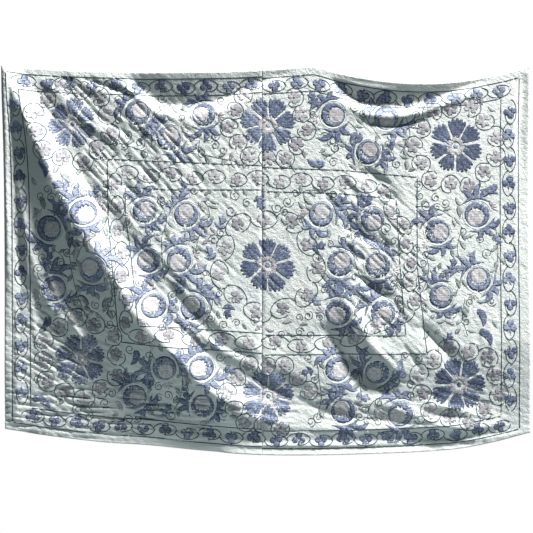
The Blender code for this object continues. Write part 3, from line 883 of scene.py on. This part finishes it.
# A fruit's crown, foot and tuft point outwards; its rim is deepest on its deep side
Fruit = namedtuple("Fruit", "across down crown foot tuft deep_side")
FRUITS = [Fruit(*row) for row in (
    (56, 19.5, 40, 215, None, 140), (69.2, 30, 60, 215, 330, 120), (83.8, 20, 80, 255, 10, 0),
    (137.9, 19.6, 75, 240, 170, 200), (152.5, 35.4, 20, 190, 100, 120), (160, 20.8, 50, 225, 320, 250),
    (33.8, 61.3, 230, 75, 320, 220), (19.2, 67.9, 320, 120, 230, 190), (37.5, 85, 305, 95, 30, 50),
    (20.8, 92.9, 270, 60, 160, 180), (198.3, 61.3, 265, 60, 330, 300), (181.7, 68.3, 235, 70, 130, 190),
    (198.8, 88.3, 235, 30, 110, 90), (182.9, 95.4, 250, 75, 160, 140), (58.8, 60.4, 250, 60, 160, 150),
    (76.3, 62.1, 55, 230, 330, 80), (60.4, 81.3, 235, 70, 150, 30), (73.3, 80.8, 60, 250, 340, 300),
    (62.9, 100, 225, 10, 120, 20), (79.2, 100.8, 305, 120, 40, 60), (132.9, 61.3, 340, 120, 200, 110),
    (154.6, 63.3, 215, 130, 350, 250), (140.8, 81.7, 100, 300, 150, 130),
    (156.7, 82.5, 85, 300, 20, 70), (140, 102.1, 275, 60, 180, 300), (158.8, 102.1, 225, 40, 330, 250),
    (67.5, 125.8, 175, 335, 80, 250), (82.9, 125.8, 55, 235, 140, 350),
    (54.6, 138.3, 245, 45, 150, 190), (83.3, 141.7, 190, 20, 80, 90), (139.6, 125.8, 75, 240, 330, 200),
    (156.3, 127.1, 200, 40, 290, 330), (142.1, 143.3, 75, 230, 340, 60),
    (165.8, 144.2, 90, 265, 180, 320),
)]
FRUIT_RADIUS = 5.15

Leaf = namedtuple("Leaf", "across down turn length")
PAISLEYS = [Leaf(*row) for row in (
    (130.8, 39.6, 180, 8), (203.5, 50.5, 150, 7.5), (199.8, 104, 60, 7.6), (201.5, 112, 40, 8.2),
    (15.5, 140.5, 20, 9), (17, 107.5, 110, 7.5), (166.5, 125.5, 250, 8.5), (55, 121.5, 100, 7),
    (17.5, 43, 60, 8), (155, 74, 30, 8.5), (150, 118, 200, 6.5),
)]
SPRIGS = [Leaf(*row) for row in (
    (91, 65, 290, 5.5), (86, 78, 250, 5.5), (85.5, 94, 60, 5.5), (94, 102.5, 100, 5.5),
    (107.5, 57, 80, 5.5), (132, 74.5, 340, 5.5), (130.5, 97, 40, 5.5), (75, 50.5, 280, 4.5),
    (38, 52, 300, 5.5), (24.5, 50.5, 200, 6), (73, 92, 250, 5.5), (89, 116, 300, 5),
    (138.5, 92.5, 330, 6), (150, 92, 10, 5), (151, 55, 200, 6), (142, 56, 300, 5), (60, 132, 200, 5),
    (68, 143.5, 310, 5), (95, 127, 20, 4.5), (127, 127, 160, 4.5), (150.5, 137.5, 10, 5),
    (186, 112.5, 300, 4.5), (18.5, 80, 300, 5), (30, 74, 20, 5), (188, 82, 280, 5), (207, 72, 60, 4.5),
    (147.5, 29, 200, 5), (129, 12.5, 250, 5),
)]
SMALL_LEAVES = [Leaf(*row) for row in (
    (88, 57, 20, 4.8), (84.5, 56, 340, 4.2), (117, 64, 60, 4.5), (125, 62, 330, 6), (127.5, 55, 230, 6),
    (128.5, 58.5, 200, 5), (136, 69, 80, 4.5), (133, 79, 300, 4.5), (68, 69.5, 70, 5.5),
    (64.5, 72.5, 40, 4.5), (69, 72.5, 10, 4.2), (82, 84, 60, 5), (88.5, 88.5, 30, 5), (36, 73, 300, 7),
    (27.5, 66.5, 60, 7.5), (30.5, 78, 100, 7), (43.5, 90.5, 80, 6.5), (33, 98, 40, 8),
    (42.5, 99.5, 100, 7), (36.5, 103.5, 320, 4.5), (16.5, 57.5, 70, 6), (13.5, 66, 100, 4.2),
    (15, 88, 60, 5), (62, 116, 80, 5), (58, 122.5, 120, 4.2), (75.5, 131, 90, 5.5), (73, 136, 60, 4.5),
    (61, 145, 30, 4.5), (96.5, 146.5, 20, 4.5), (148.5, 60, 100, 5), (163, 60, 20, 5.5),
    (163.5, 66, 40, 4.5), (134, 87.5, 60, 5), (147, 76, 80, 4.5), (146, 97.5, 70, 5),
    (133.5, 107.5, 60, 4.5), (147.5, 108, 40, 5), (190.5, 60, 80, 5.5), (192, 74, 60, 5),
    (206, 82, 100, 4.5), (190, 90, 70, 5), (175.5, 84, 80, 4.5), (192.5, 102, 60, 5),
    (186.5, 106.5, 20, 4.5), (148, 133, 330, 5), (133, 135.5, 200, 5), (173.5, 128, 250, 4.5),
    (155.5, 144, 80, 4.5), (77, 38.5, 30, 5), (65.5, 42, 70, 6), (142, 31, 60, 5), (146, 41.5, 40, 4.5),
    (125.5, 36, 70, 4.5), (95, 37.5, 110, 4.5), (168.5, 40.5, 90, 5), (125, 20, 160, 5),
)]

Curl = namedtuple("Curl", "across down size turn hand")
CURLS = [Curl(*row) for row in (
    (66, 13, 1.7, 0, 1), (57, 32, 1.9, 90, -1), (15, 34, 1.9, 200, 1), (66, 56, 1.8, 30, 1),
    (97, 54, 1.9, 260, -1), (95, 60.5, 1.9, 0, 1), (88, 72.5, 1.9, 180, 1), (19, 52, 1.7, 90, -1),
    (16, 54.5, 1.6, 10, 1), (16, 80, 1.6, 60, 1), (45, 99, 2, 140, 1), (44.5, 107.5, 1.7, 200, -1),
    (53, 118, 1.7, 0, 1), (15.5, 116, 2, 300, -1), (42, 141, 1.8, 30, 1), (30.5, 143.5, 1.8, 120, 1),
    (70, 146, 1.9, 220, -1), (92, 145.5, 1.8, 60, 1), (105.5, 106, 1.9, 90, 1),
    (74.5, 106.5, 1.6, 300, 1), (119, 56, 2, 0, 1), (114.5, 58.5, 1.8, 220, -1),
    (124.5, 63.5, 1.8, 90, 1), (131.5, 79, 2, 30, 1), (127.5, 103.5, 1.7, 280, 1),
    (132.5, 104, 1.7, 0, -1), (160.5, 67, 2.2, 60, 1), (160, 74, 2, 300, -1), (177, 57.5, 1.9, 40, 1),
    (185, 56.5, 1.7, 160, -1), (202.5, 77.5, 1.8, 90, 1), (204, 97.5, 1.7, 10, 1),
    (175.5, 81.5, 1.6, 200, -1), (196, 14.5, 2, 300, 1), (129, 13, 1.6, 30, -1),
    (176, 16.5, 1.8, 120, 1), (130, 130, 1.8, 250, 1), (131.5, 146, 1.8, 40, 1),
    (174, 146.5, 1.8, 180, -1), (149, 145.5, 1.6, 0, 1), (137.5, 30.5, 1.9, 100, 1),
    (139, 33.5, 1.5, 200, -1), (63.5, 29, 1.8, 10, 1), (88.5, 33, 1.7, 200, 1), (161, 108, 1.7, 80, 1),
)]

# Stems between the motifs, each a short curve with leaves on both sides
STEMS = [
    [(24, 44), (26, 52), (24, 60), (27, 68), (32, 76)],
    [(44, 56), (43, 64), (40, 70), (33, 76), (30, 84)], [(20, 76), (25, 80), (24, 86)],
    [(30, 70), (28, 78), (30, 92), (34, 104)], [(45, 88), (46, 96), (43, 104)],
    [(64, 54), (68, 64), (66, 72), (67, 90)], [(84, 56), (86, 62), (82, 70), (80, 78)],
    [(68, 88), (72, 94), (70, 102), (66, 110)], [(88, 94), (86, 104), (80, 110)],
    [(122, 54), (128, 51), (138, 54), (144, 60), (146, 72)],
    [(148, 56), (150, 66), (146, 74), (150, 90)], [(134, 90), (138, 94), (146, 94), (152, 98)],
    [(165, 86), (163, 94), (154, 94)], [(172, 58), (178, 58), (184, 60), (190, 64)],
    [(192, 66), (190, 76), (192, 84), (189, 96)], [(176, 76), (178, 84), (176, 92)],
    [(193, 96), (192, 104), (194, 112)], [(206, 66), (207, 76), (206, 86)],
    [(62, 118), (60, 128), (62, 136)], [(74, 120), (75, 130), (74, 138), (70, 146)],
    [(92, 126), (92, 134), (92, 142)], [(131, 120), (132, 130), (133, 138), (131, 146)],
    [(148, 120), (149, 130), (150, 140)], [(166, 130), (160, 136), (154, 140), (152, 147)],
    [(60, 28), (64, 20), (70, 17), (77, 19)], [(144, 22), (148, 27), (146, 33)],
    [(148, 12), (151, 20), (158, 30)], [(82, 30), (82, 36), (88, 38), (98, 40)],
    [(138, 28), (140, 34), (134, 38)], [(48, 32), (54, 34), (60, 36)],
    [(168, 20), (170, 28), (166, 36)],
]

# The open ground is filled by trying this many places, each with this room round it
FILL_TRIES = 4000
FILL_ROOM = 3.5
FILL_BOTTOM = 148.0

# How far in from each edge the border's lines and flowers lie. At the top the left
# border is gathered in, by this share at most and over this depth.
Insets = namedtuple("Insets", "outer flowers inner")
LEFT_BORDER = Insets(3.3, 7.0, 10.8)
RIGHT_BORDER = Insets(4.4, 8.3, 12.0)
TOP_BORDER = Insets(2.8, 6.1, 9.6)
BOTTOM_BORDER = Insets(3.4, 7.0, 10.8)
LEFT_GATHER = 0.42
GATHER_REACH = 24.0
SIDE_FLOWERS = 14
LEVEL_FLOWERS = 22

# The frame's two lines, each a closed row of corners
FRAME_OUTER = [(43.2, 38.9), (110, 41.7), (143, 42.9), (173.2, 45.8), (173.2, 83), (177, 119.2),
               (109, 119.9), (74, 117.6), (48.4, 115), (46.6, 89), (43.4, 63), (43.2, 38.9)]
FRAME_INNER = [(50.6, 50.4), (68, 51.7), (110, 51.7), (140, 52.5), (164.4, 54.8), (166, 83), (168.2, 111.8),
               (109, 111.6), (57, 108.2), (54.4, 89), (50.8, 63), (50.6, 50.4)]


def border_line(inset_name):
    """The line at one inset all round the cloth, as four sides of (across, down) points."""
    left = getattr(LEFT_BORDER, inset_name)
    right = HUNG_WIDTH - getattr(RIGHT_BORDER, inset_name)
    above = getattr(TOP_BORDER, inset_name)
    below = getattr(BOTTOM_BORDER, inset_name)
    level = np.linspace(left * (1.0 - LEFT_GATHER), right, 90)
    top = np.column_stack([level, top_edge(level) + above])
    level = np.linspace(left, right, 90)
    bottom = np.column_stack([level, hem_edge(level) - below])
    upright = np.linspace(0.0, 1.0, 60)
    left_down = top[0, 1] + (bottom[0, 1] - top[0, 1]) * upright
    gathered = 1.0 - LEFT_GATHER * np.exp(-(left_down / GATHER_REACH) ** 2)
    left_side = np.column_stack([left * gathered, left_down])
    right_side = np.column_stack([np.full(60, right), top[-1, 1] + (bottom[-1, 1] - top[-1, 1]) * upright])
    return top, right_side, bottom, left_side


def stretch_line(line, share_start, share_end):
    """The part of a line between two shares of its length."""
    along = distances(line)
    where = np.linspace(share_start, share_end, 120) * along[-1]
    return np.column_stack([np.interp(where, along, line[:, 0]), np.interp(where, along, line[:, 1])])


def work_border(blue, vines):
    """The border's two lines and the vine with trefoils between them."""
    for inset_name in ("outer", "inner"):
        for side in border_line(inset_name):
            stitched_line(vines, side, half_width=FRAME_HALF_WIDTH)
    top, right, bottom, left = border_line("flowers")
    for line in (top, bottom):
        for spot in scroll(vines, line, LEVEL_FLOWERS, 2.9):
            trefoil(blue, spot[:2], spot[2], 5.5)
    half = 0.5 / SIDE_FLOWERS
    for line in (right, left):
        for spot in scroll(vines, stretch_line(line, half, 1.0 - half), SIDE_FLOWERS - 1, 2.8):
            trefoil(blue, spot[:2], spot[2] + 90.0, 5.5)


def work_frame(taupe, vines):
    """The frame's two lines and the vine with taupe flowers between them."""
    for line in (FRAME_OUTER, FRAME_INNER):
        for start, end in zip(line[:-1], line[1:]):
            stitched_line(vines, [start, end], half_width=FRAME_HALF_WIDTH)
    outer, inner = np.array(FRAME_OUTER), np.array(FRAME_INNER)
    middle = 0.5 * (outer + inner)
    sides = ((middle[:4], 12), (middle[3:6], 7), (middle[5:9], 11), (middle[8:], 7))
    for line, flowers in sides:
        for spot in scroll(vines, line, flowers, 3.4):
            trefoil(taupe, spot[:2], spot[2], 5.4, FIVE_LOBES)


STEM_LEAF_PITCH = 4.6


def leafy_stem(vines, leaves, stem):
    """A stem with small leaves that alternate along it."""
    line = route_line(stem, 30)
    stitched_line(vines, line, half_width=STEM_HALF_WIDTH)
    count = max(2, int(distances(line)[-1] / STEM_LEAF_PITCH))
    for number in range(count):
        place = int((number + 0.6) / count * 28)
        run_a, run_d = line[place + 1] - line[place]
        side = 1 if number % 2 else -1
        way = math.degrees(math.atan2(run_d, run_a)) + side * chance.uniform(35.0, 55.0)
        size = chance.uniform(3.4, 4.6)
        middle = round_point(line[place], 0.55 * size, math.radians(way))
        leaf(leaves, middle, way, size, 0.46 * size)


def inside(across, down, outline):
    """Whether a place lies inside a closed outline."""
    crossings = 0
    for (a, d), (next_a, next_d) in zip(outline[:-1], outline[1:]):
        if (d > down) != (next_d > down) and across < a + (down - d) / (next_d - d) * (next_a - a):
            crossings += 1
    return crossings % 2 == 1


def fill_open_ground(vines, leaves, taupe):
    """Small tendrils and leaves wherever the motifs leave room."""
    taken = [(flower.across, flower.down, flower.ring_across + 3.4) for flower in ROSETTES]
    taken += [(fruit.across, fruit.down, 1.6 * FRUIT_RADIUS) for fruit in FRUITS]
    for items, room in ((PAISLEYS, 5.4), (SPRIGS, 4.2), (SMALL_LEAVES, 3.4), (CURLS, 3.4)):
        taken += [(item.across, item.down, room) for item in items]
    for _ in range(FILL_TRIES):
        across = chance.uniform(LEFT_BORDER.inner + 2.4, HUNG_WIDTH - RIGHT_BORDER.inner - 2.4)
        down = chance.uniform(TOP_BORDER.inner + 4.0, FILL_BOTTOM)
        in_frame = inside(across, down, FRAME_OUTER) and not inside(across, down, FRAME_INNER)
        if in_frame or any(math.hypot(across - a, down - d) < room for a, d, room in taken):
            continue
        turn = chance.uniform(0.0, 360.0)
        kind = chance.random()
        if kind < 0.5:
            spiral(vines, (across, down), chance.uniform(1.3, 1.7), turn, chance.choice((-1, 1)))
        elif kind < 0.8:
            leaf(leaves, (across, down), turn, chance.uniform(3.6, 4.8), 1.8)
        else:
            leaf(taupe, (across, down), turn, chance.uniform(3.6, 4.8), 1.9)
        taken.append((across, down, FILL_ROOM))


def work_field(petals, blue, hearts, taupe, pale, leaves, vines):
    """All the motifs inside the border but the frame."""
    for flower in ROSETTES:
        middle = (flower.across, flower.down)
        rosette(petals, hearts, middle, flower.radius, flower.petals, flower.turn, flower.tone)
        ring = ring_line(middle, flower.ring_across, flower.ring_down, flower.start, flower.sweep)
        for spot in scroll(vines, ring, flower.flowers, 4.6):
            trefoil(taupe, spot[:2], spot[2] + chance.uniform(-35, 35), 6.2, FIVE_LOBES)
    for fruit in FRUITS:
        radius = FRUIT_RADIUS * chance.uniform(0.95, 1.05)
        pomegranate(blue, hearts, pale, (fruit.across, fruit.down), radius, fruit)
    for item in PAISLEYS:
        paisley(blue, (item.across, item.down), item.turn, item.length)
    for item in SPRIGS:
        sprig(blue, (item.across, item.down), item.turn, item.length)
    for number, item in enumerate(SMALL_LEAVES):
        work = taupe if number % 2 else leaves
        leaf(work, (item.across, item.down), item.turn, item.length, 0.44 * item.length)
    for curl in CURLS:
        spiral(vines, (curl.across, curl.down), curl.size, curl.turn, curl.hand)
    for stem in STEMS:
        leafy_stem(vines, leaves, stem)
    fill_open_ground(vines, leaves, taupe)


def hung_object(name, work, material):
    """Turns a flat mesh into an object that hangs on the cloth."""
    bmesh.ops.remove_doubles(work, verts=work.verts[:], dist=0.0005)
    bmesh.ops.recalc_face_normals(work, faces=work.faces[:])
    mesh = bpy.data.meshes.new(name)
    work.to_mesh(mesh)
    work.free()
    flat = np.empty(len(mesh.vertices) * 3)
    mesh.vertices.foreach_get("co", flat)
    mesh.vertices.foreach_set("co", hang(flat.reshape(-1, 3)).ravel())
    mesh.shade_smooth()
    mesh.materials.append(material)
    mesh.update()
    piece = bpy.data.objects.new(name, mesh)
    bpy.context.scene.collection.objects.link(piece)
    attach(piece, "root")
    return piece


# The right panel was sewn on a little lower than the left, so motifs don't quite meet
SEAM_MISMATCH = 0.7


def sew_on(name, work, material):
    """Cuts a flat mesh at the seam and hangs each half on its own panel."""
    halves = []
    for side, keep_left in (("left", True), ("right", False)):
        half = work.copy()
        everything = half.verts[:] + half.edges[:] + half.faces[:]
        cut = bmesh.ops.bisect_plane(half, geom=everything, dist=0.0001,
                                     plane_co=(SEAM_ACROSS, 0.0, 0.0), plane_no=(1.0, 0.0, 0.0),
                                     clear_outer=keep_left, clear_inner=not keep_left)
        cut_edges = [item for item in cut["geom_cut"] if isinstance(item, bmesh.types.BMEdge)]
        bmesh.ops.holes_fill(half, edges=cut_edges, sides=0)
        if not keep_left:
            bmesh.ops.translate(half, verts=half.verts[:], vec=(0.0, -SEAM_MISMATCH, 0.0))
        halves.append(hung_object(f"{name}_{side}", half, material))
    work.free()
    return halves


def panel(name, left, right, material):
    """One length of the ground cloth, hung in its folds and given its thickness."""
    columns = int(round((right - left) / CELL))
    rows = int(round(MEAN_LENGTH / CELL))
    ground = bmesh.new()
    bmesh.ops.create_grid(ground, x_segments=columns, y_segments=rows, size=0.5)
    for vert in ground.verts:
        vert.co.x = left + (vert.co.x + 0.5) * (right - left)
    flat = np.array([vert.co[:2] for vert in ground.verts])
    top, hem = top_edge(flat[:, 0]), hem_edge(flat[:, 0])
    down = top + (0.5 - flat[:, 1]) * (hem - top)
    for vert, depth in zip(ground.verts, down):
        vert.co.y = -depth
    piece = hung_object(name, ground, material)
    thickness = piece.modifiers.new("cloth thickness", "SOLIDIFY")
    thickness.thickness = CLOTH_THICKNESS
    thickness.offset = -1.0
    return piece


# The sewing, in centimetres: how far apart the stitches are, where the seam's lie and how
# far each reaches and slants, and how far in the hem's lie and the points of one of them
STITCH_PITCH = 0.9
STITCH_STEP = 0.25
SEAM_START = 1.2
SEAM_LENGTH = 158.0
SEAM_REACH = 0.26
SEAM_SLANT = 0.12
SEAM_HALF_WIDTH = 0.08
HEM_INSET = 1.1
HEM_HALF_WIDTH = 0.06
HEM_RUN = (0.0, 0.25, 0.5)


def seam_stitches(material):
    """Whip stitches that join the two panels."""
    work = new_work()
    for step in range(int(SEAM_LENGTH / STITCH_PITCH)):
        down = SEAM_START + STITCH_PITCH * step + chance.uniform(-0.08, 0.08)
        reach = SEAM_REACH * chance.uniform(0.8, 1.2)
        stitch = [(SEAM_ACROSS + way * reach, down + way * SEAM_SLANT) for way in (-1.0, 0.0, 1.0)]
        stitched_line(work, stitch, half_width=SEAM_HALF_WIDTH, step=STITCH_STEP)
    return hung_object("seam_stitches", work, material)


def hem_stitches(material):
    """Running stitches that hold the turned hem, a little inside the edge."""
    work = new_work()
    starts = []
    for across in np.arange(HEM_INSET, HUNG_WIDTH - HEM_INSET, STITCH_PITCH):
        hem = float(hem_edge(np.array([across]))[0])
        starts += [(across, float(top_edge(across)) + HEM_INSET, 1, 0), (across, hem - HEM_INSET, 1, 0)]
    for across in (HEM_INSET, HUNG_WIDTH - HEM_INSET):
        hem = float(hem_edge(np.array([across]))[0])
        places = np.arange(HEM_INSET + 0.5, hem - HEM_INSET, STITCH_PITCH)
        starts += [(across, down, 0, 1) for down in places]
    for across, down, level, upright in starts:
        stitch = [(across + run * level, down + run * upright) for run in HEM_RUN]
        stitched_line(work, stitch, half_width=HEM_HALF_WIDTH, step=STITCH_STEP)
    return hung_object("hem_stitches", work, material)


def build_textile():
    """Both ground sheets and all the needlework on them."""
    cotton = plain_weave_cotton()
    blue_thread = laid_thread("laid_silk_thread_indigo", "#2B3347", "#505A72", "#8E95A6", 0.2)
    taupe_thread = laid_thread("laid_silk_thread_taupe", "#606067", "#8B898D", "#B2B0B0", 0.12)
    heart_thread = laid_thread("laid_silk_thread_pale_taupe", "#7B787B", "#A29FA1", "#C6C3C1", 0.12)
    leaf_thread = laid_thread("laid_silk_thread_grey_green", "#59625F", "#828B88", "#A9AFAA", 0.12)
    outline_thread = chain_stitched_thread("chain_stitched_thread_grey_green", "#25333C", "#36454F")
    sewing_thread = chain_stitched_thread("cotton_sewing_thread", "#A4ABA4", "#BCC1BA")
    left = panel("ground_left", 0.0, SEAM_ACROSS - 0.02, cotton)
    right = panel("ground_right", SEAM_ACROSS, HUNG_WIDTH, cotton)
    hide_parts("panel_left")
    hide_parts("panel_right")
    petals, blue, border = new_work(), new_work(), new_work()
    hearts, taupe, pale, leaves = new_work(), new_work(), new_work(), new_work()
    vines, border_vines = new_work(), new_work()
    work_border(border, border_vines)
    work_frame(taupe, vines)
    work_field(petals, blue, hearts, taupe, pale, leaves, vines)
    for name, work, material, slot_name in (
            ("rosette_petals", petals, blue_thread, "blue_thread"),
            ("fruit_and_leaves", blue, blue_thread, "blue_thread"),
            ("border_flowers", border, blue_thread, "blue_thread"),
            ("hearts", hearts, heart_thread, "taupe_thread"),
            ("small_flowers", taupe, taupe_thread, "taupe_thread"),
            ("small_leaves", leaves, leaf_thread, "outline_thread"),
            ("pale_rings", pale, sewing_thread, "ground_cloth"),
            ("field_vines", vines, outline_thread, "outline_thread"),
            ("border_vines", border_vines, outline_thread, "outline_thread")):
        sew_on(name, work, material)
    seam = seam_stitches(sewing_thread)
    hem = hem_stitches(sewing_thread)


# Places in metres and lamp powers in watts. The light is aimed at a point below the
# cloth's top, and the key grazes the cloth from high on the right.
FLOOR_HEIGHT = -2.6
FLOOR_HALF_SIDE = 3.0
AIM_BELOW_TOP = 0.8
KEY_DIRECTION = Vector((0.42, -0.27, 0.87))
KEY_DISTANCE = 10.0
KEY_POWER = 16000.0
KEY_CONE = 36.0
KEY_RADIUS = 0.6
KEY_SOFT_EDGE = 0.3
BACK_LIGHT_PLACE = (0.0, 4.0)
BACK_LIGHT_SIDE = 3.0
BACK_LIGHT_POWER = 90.0
DOME_STRENGTH = 0.125

# The picture's side in pixels, the cloth's width in it, and how far the picture's
# middle lies below the cloth's top
IMAGE_SIDE = 533.0
CLOTH_PIXELS = 527.0
MIDDLE_BELOW_TOP = 200.5
LENS = 85.0


def studio():
    """A pale floor well below the hem, a large soft key high on the right, and the camera."""
    floor_mesh = bmesh.new()
    bmesh.ops.create_grid(floor_mesh, x_segments=1, y_segments=1, size=FLOOR_HALF_SIDE)
    mesh = bpy.data.meshes.new("floor")
    floor_mesh.to_mesh(mesh)
    floor_mesh.free()
    floor = bpy.data.objects.new("floor", mesh)
    floor.location = (0.0, 0.0, FLOOR_HEIGHT)
    paint, _, shader = new_material("matt_studio_floor_paint", 0.9, 0.0, 0.2)
    # Its grey shows nearly white under the strong key and throws back little light
    shader.inputs["Base Color"].default_value = hex_colour("#9DA8AC")
    mesh.materials.append(paint)
    bpy.context.scene.collection.objects.link(floor)

    target = Vector((0.0, 0.0, TOP_POINT - AIM_BELOW_TOP))
    lamp = bpy.data.lights.new("key", "SPOT")
    lamp.energy = KEY_POWER
    lamp.shadow_soft_size = KEY_RADIUS
    lamp.spot_size = math.radians(KEY_CONE)
    lamp.spot_blend = KEY_SOFT_EDGE
    key = bpy.data.objects.new("key", lamp)
    key.location = target + KEY_DIRECTION.normalized() * KEY_DISTANCE
    key.rotation_euler = KEY_DIRECTION.to_track_quat("Z", "Y").to_euler()
    bpy.context.scene.collection.objects.link(key)

    # A large dim lamp behind, for the back of the cloth alone
    lamp = bpy.data.lights.new("back", "AREA")
    lamp.energy = BACK_LIGHT_POWER
    lamp.size = BACK_LIGHT_SIDE
    back = bpy.data.objects.new("back", lamp)
    back.location = (*BACK_LIGHT_PLACE, target.z)
    back.rotation_euler = (math.radians(-90.0), 0.0, 0.0)
    back.visible_camera = False
    bpy.context.scene.collection.objects.link(back)

    world = bpy.data.worlds.new("studio")
    world.use_nodes = True
    bpy.context.scene.world = world
    tree = world.node_tree
    dome = tree.nodes["Background"]
    dome.inputs["Color"].default_value = hex_colour("#A9CFDB")
    dome.inputs["Strength"].default_value = DOME_STRENGTH
    seen = add_node(tree, "ShaderNodeBackground", {"Color": (1.0, 1.0, 1.0, 1.0), "Strength": 1.0})
    path = add_node(tree, "ShaderNodeLightPath")
    both = add_node(tree, "ShaderNodeMixShader",
                    links={0: path.outputs["Is Camera Ray"], 1: dome.outputs[0], 2: seen.outputs[0]})
    tree.links.new(both.outputs[0], tree.nodes["World Output"].inputs["Surface"])

    scene = bpy.context.scene
    scene.view_settings.view_transform = "Standard"
    lens = bpy.data.cameras.new("camera")
    lens.lens = LENS
    camera = bpy.data.objects.new("camera", lens)
    frame_width = IMAGE_SIDE / CLOTH_PIXELS * HUNG_WIDTH * CM
    distance = frame_width * lens.lens / lens.sensor_width
    camera.location = (0.0, -distance, TOP_POINT - MIDDLE_BELOW_TOP / IMAGE_SIDE * frame_width)
    camera.rotation_euler = (math.radians(90.0), 0.0, 0.0)
    scene.collection.objects.link(camera)
    scene.camera = camera


build_textile()
studio()
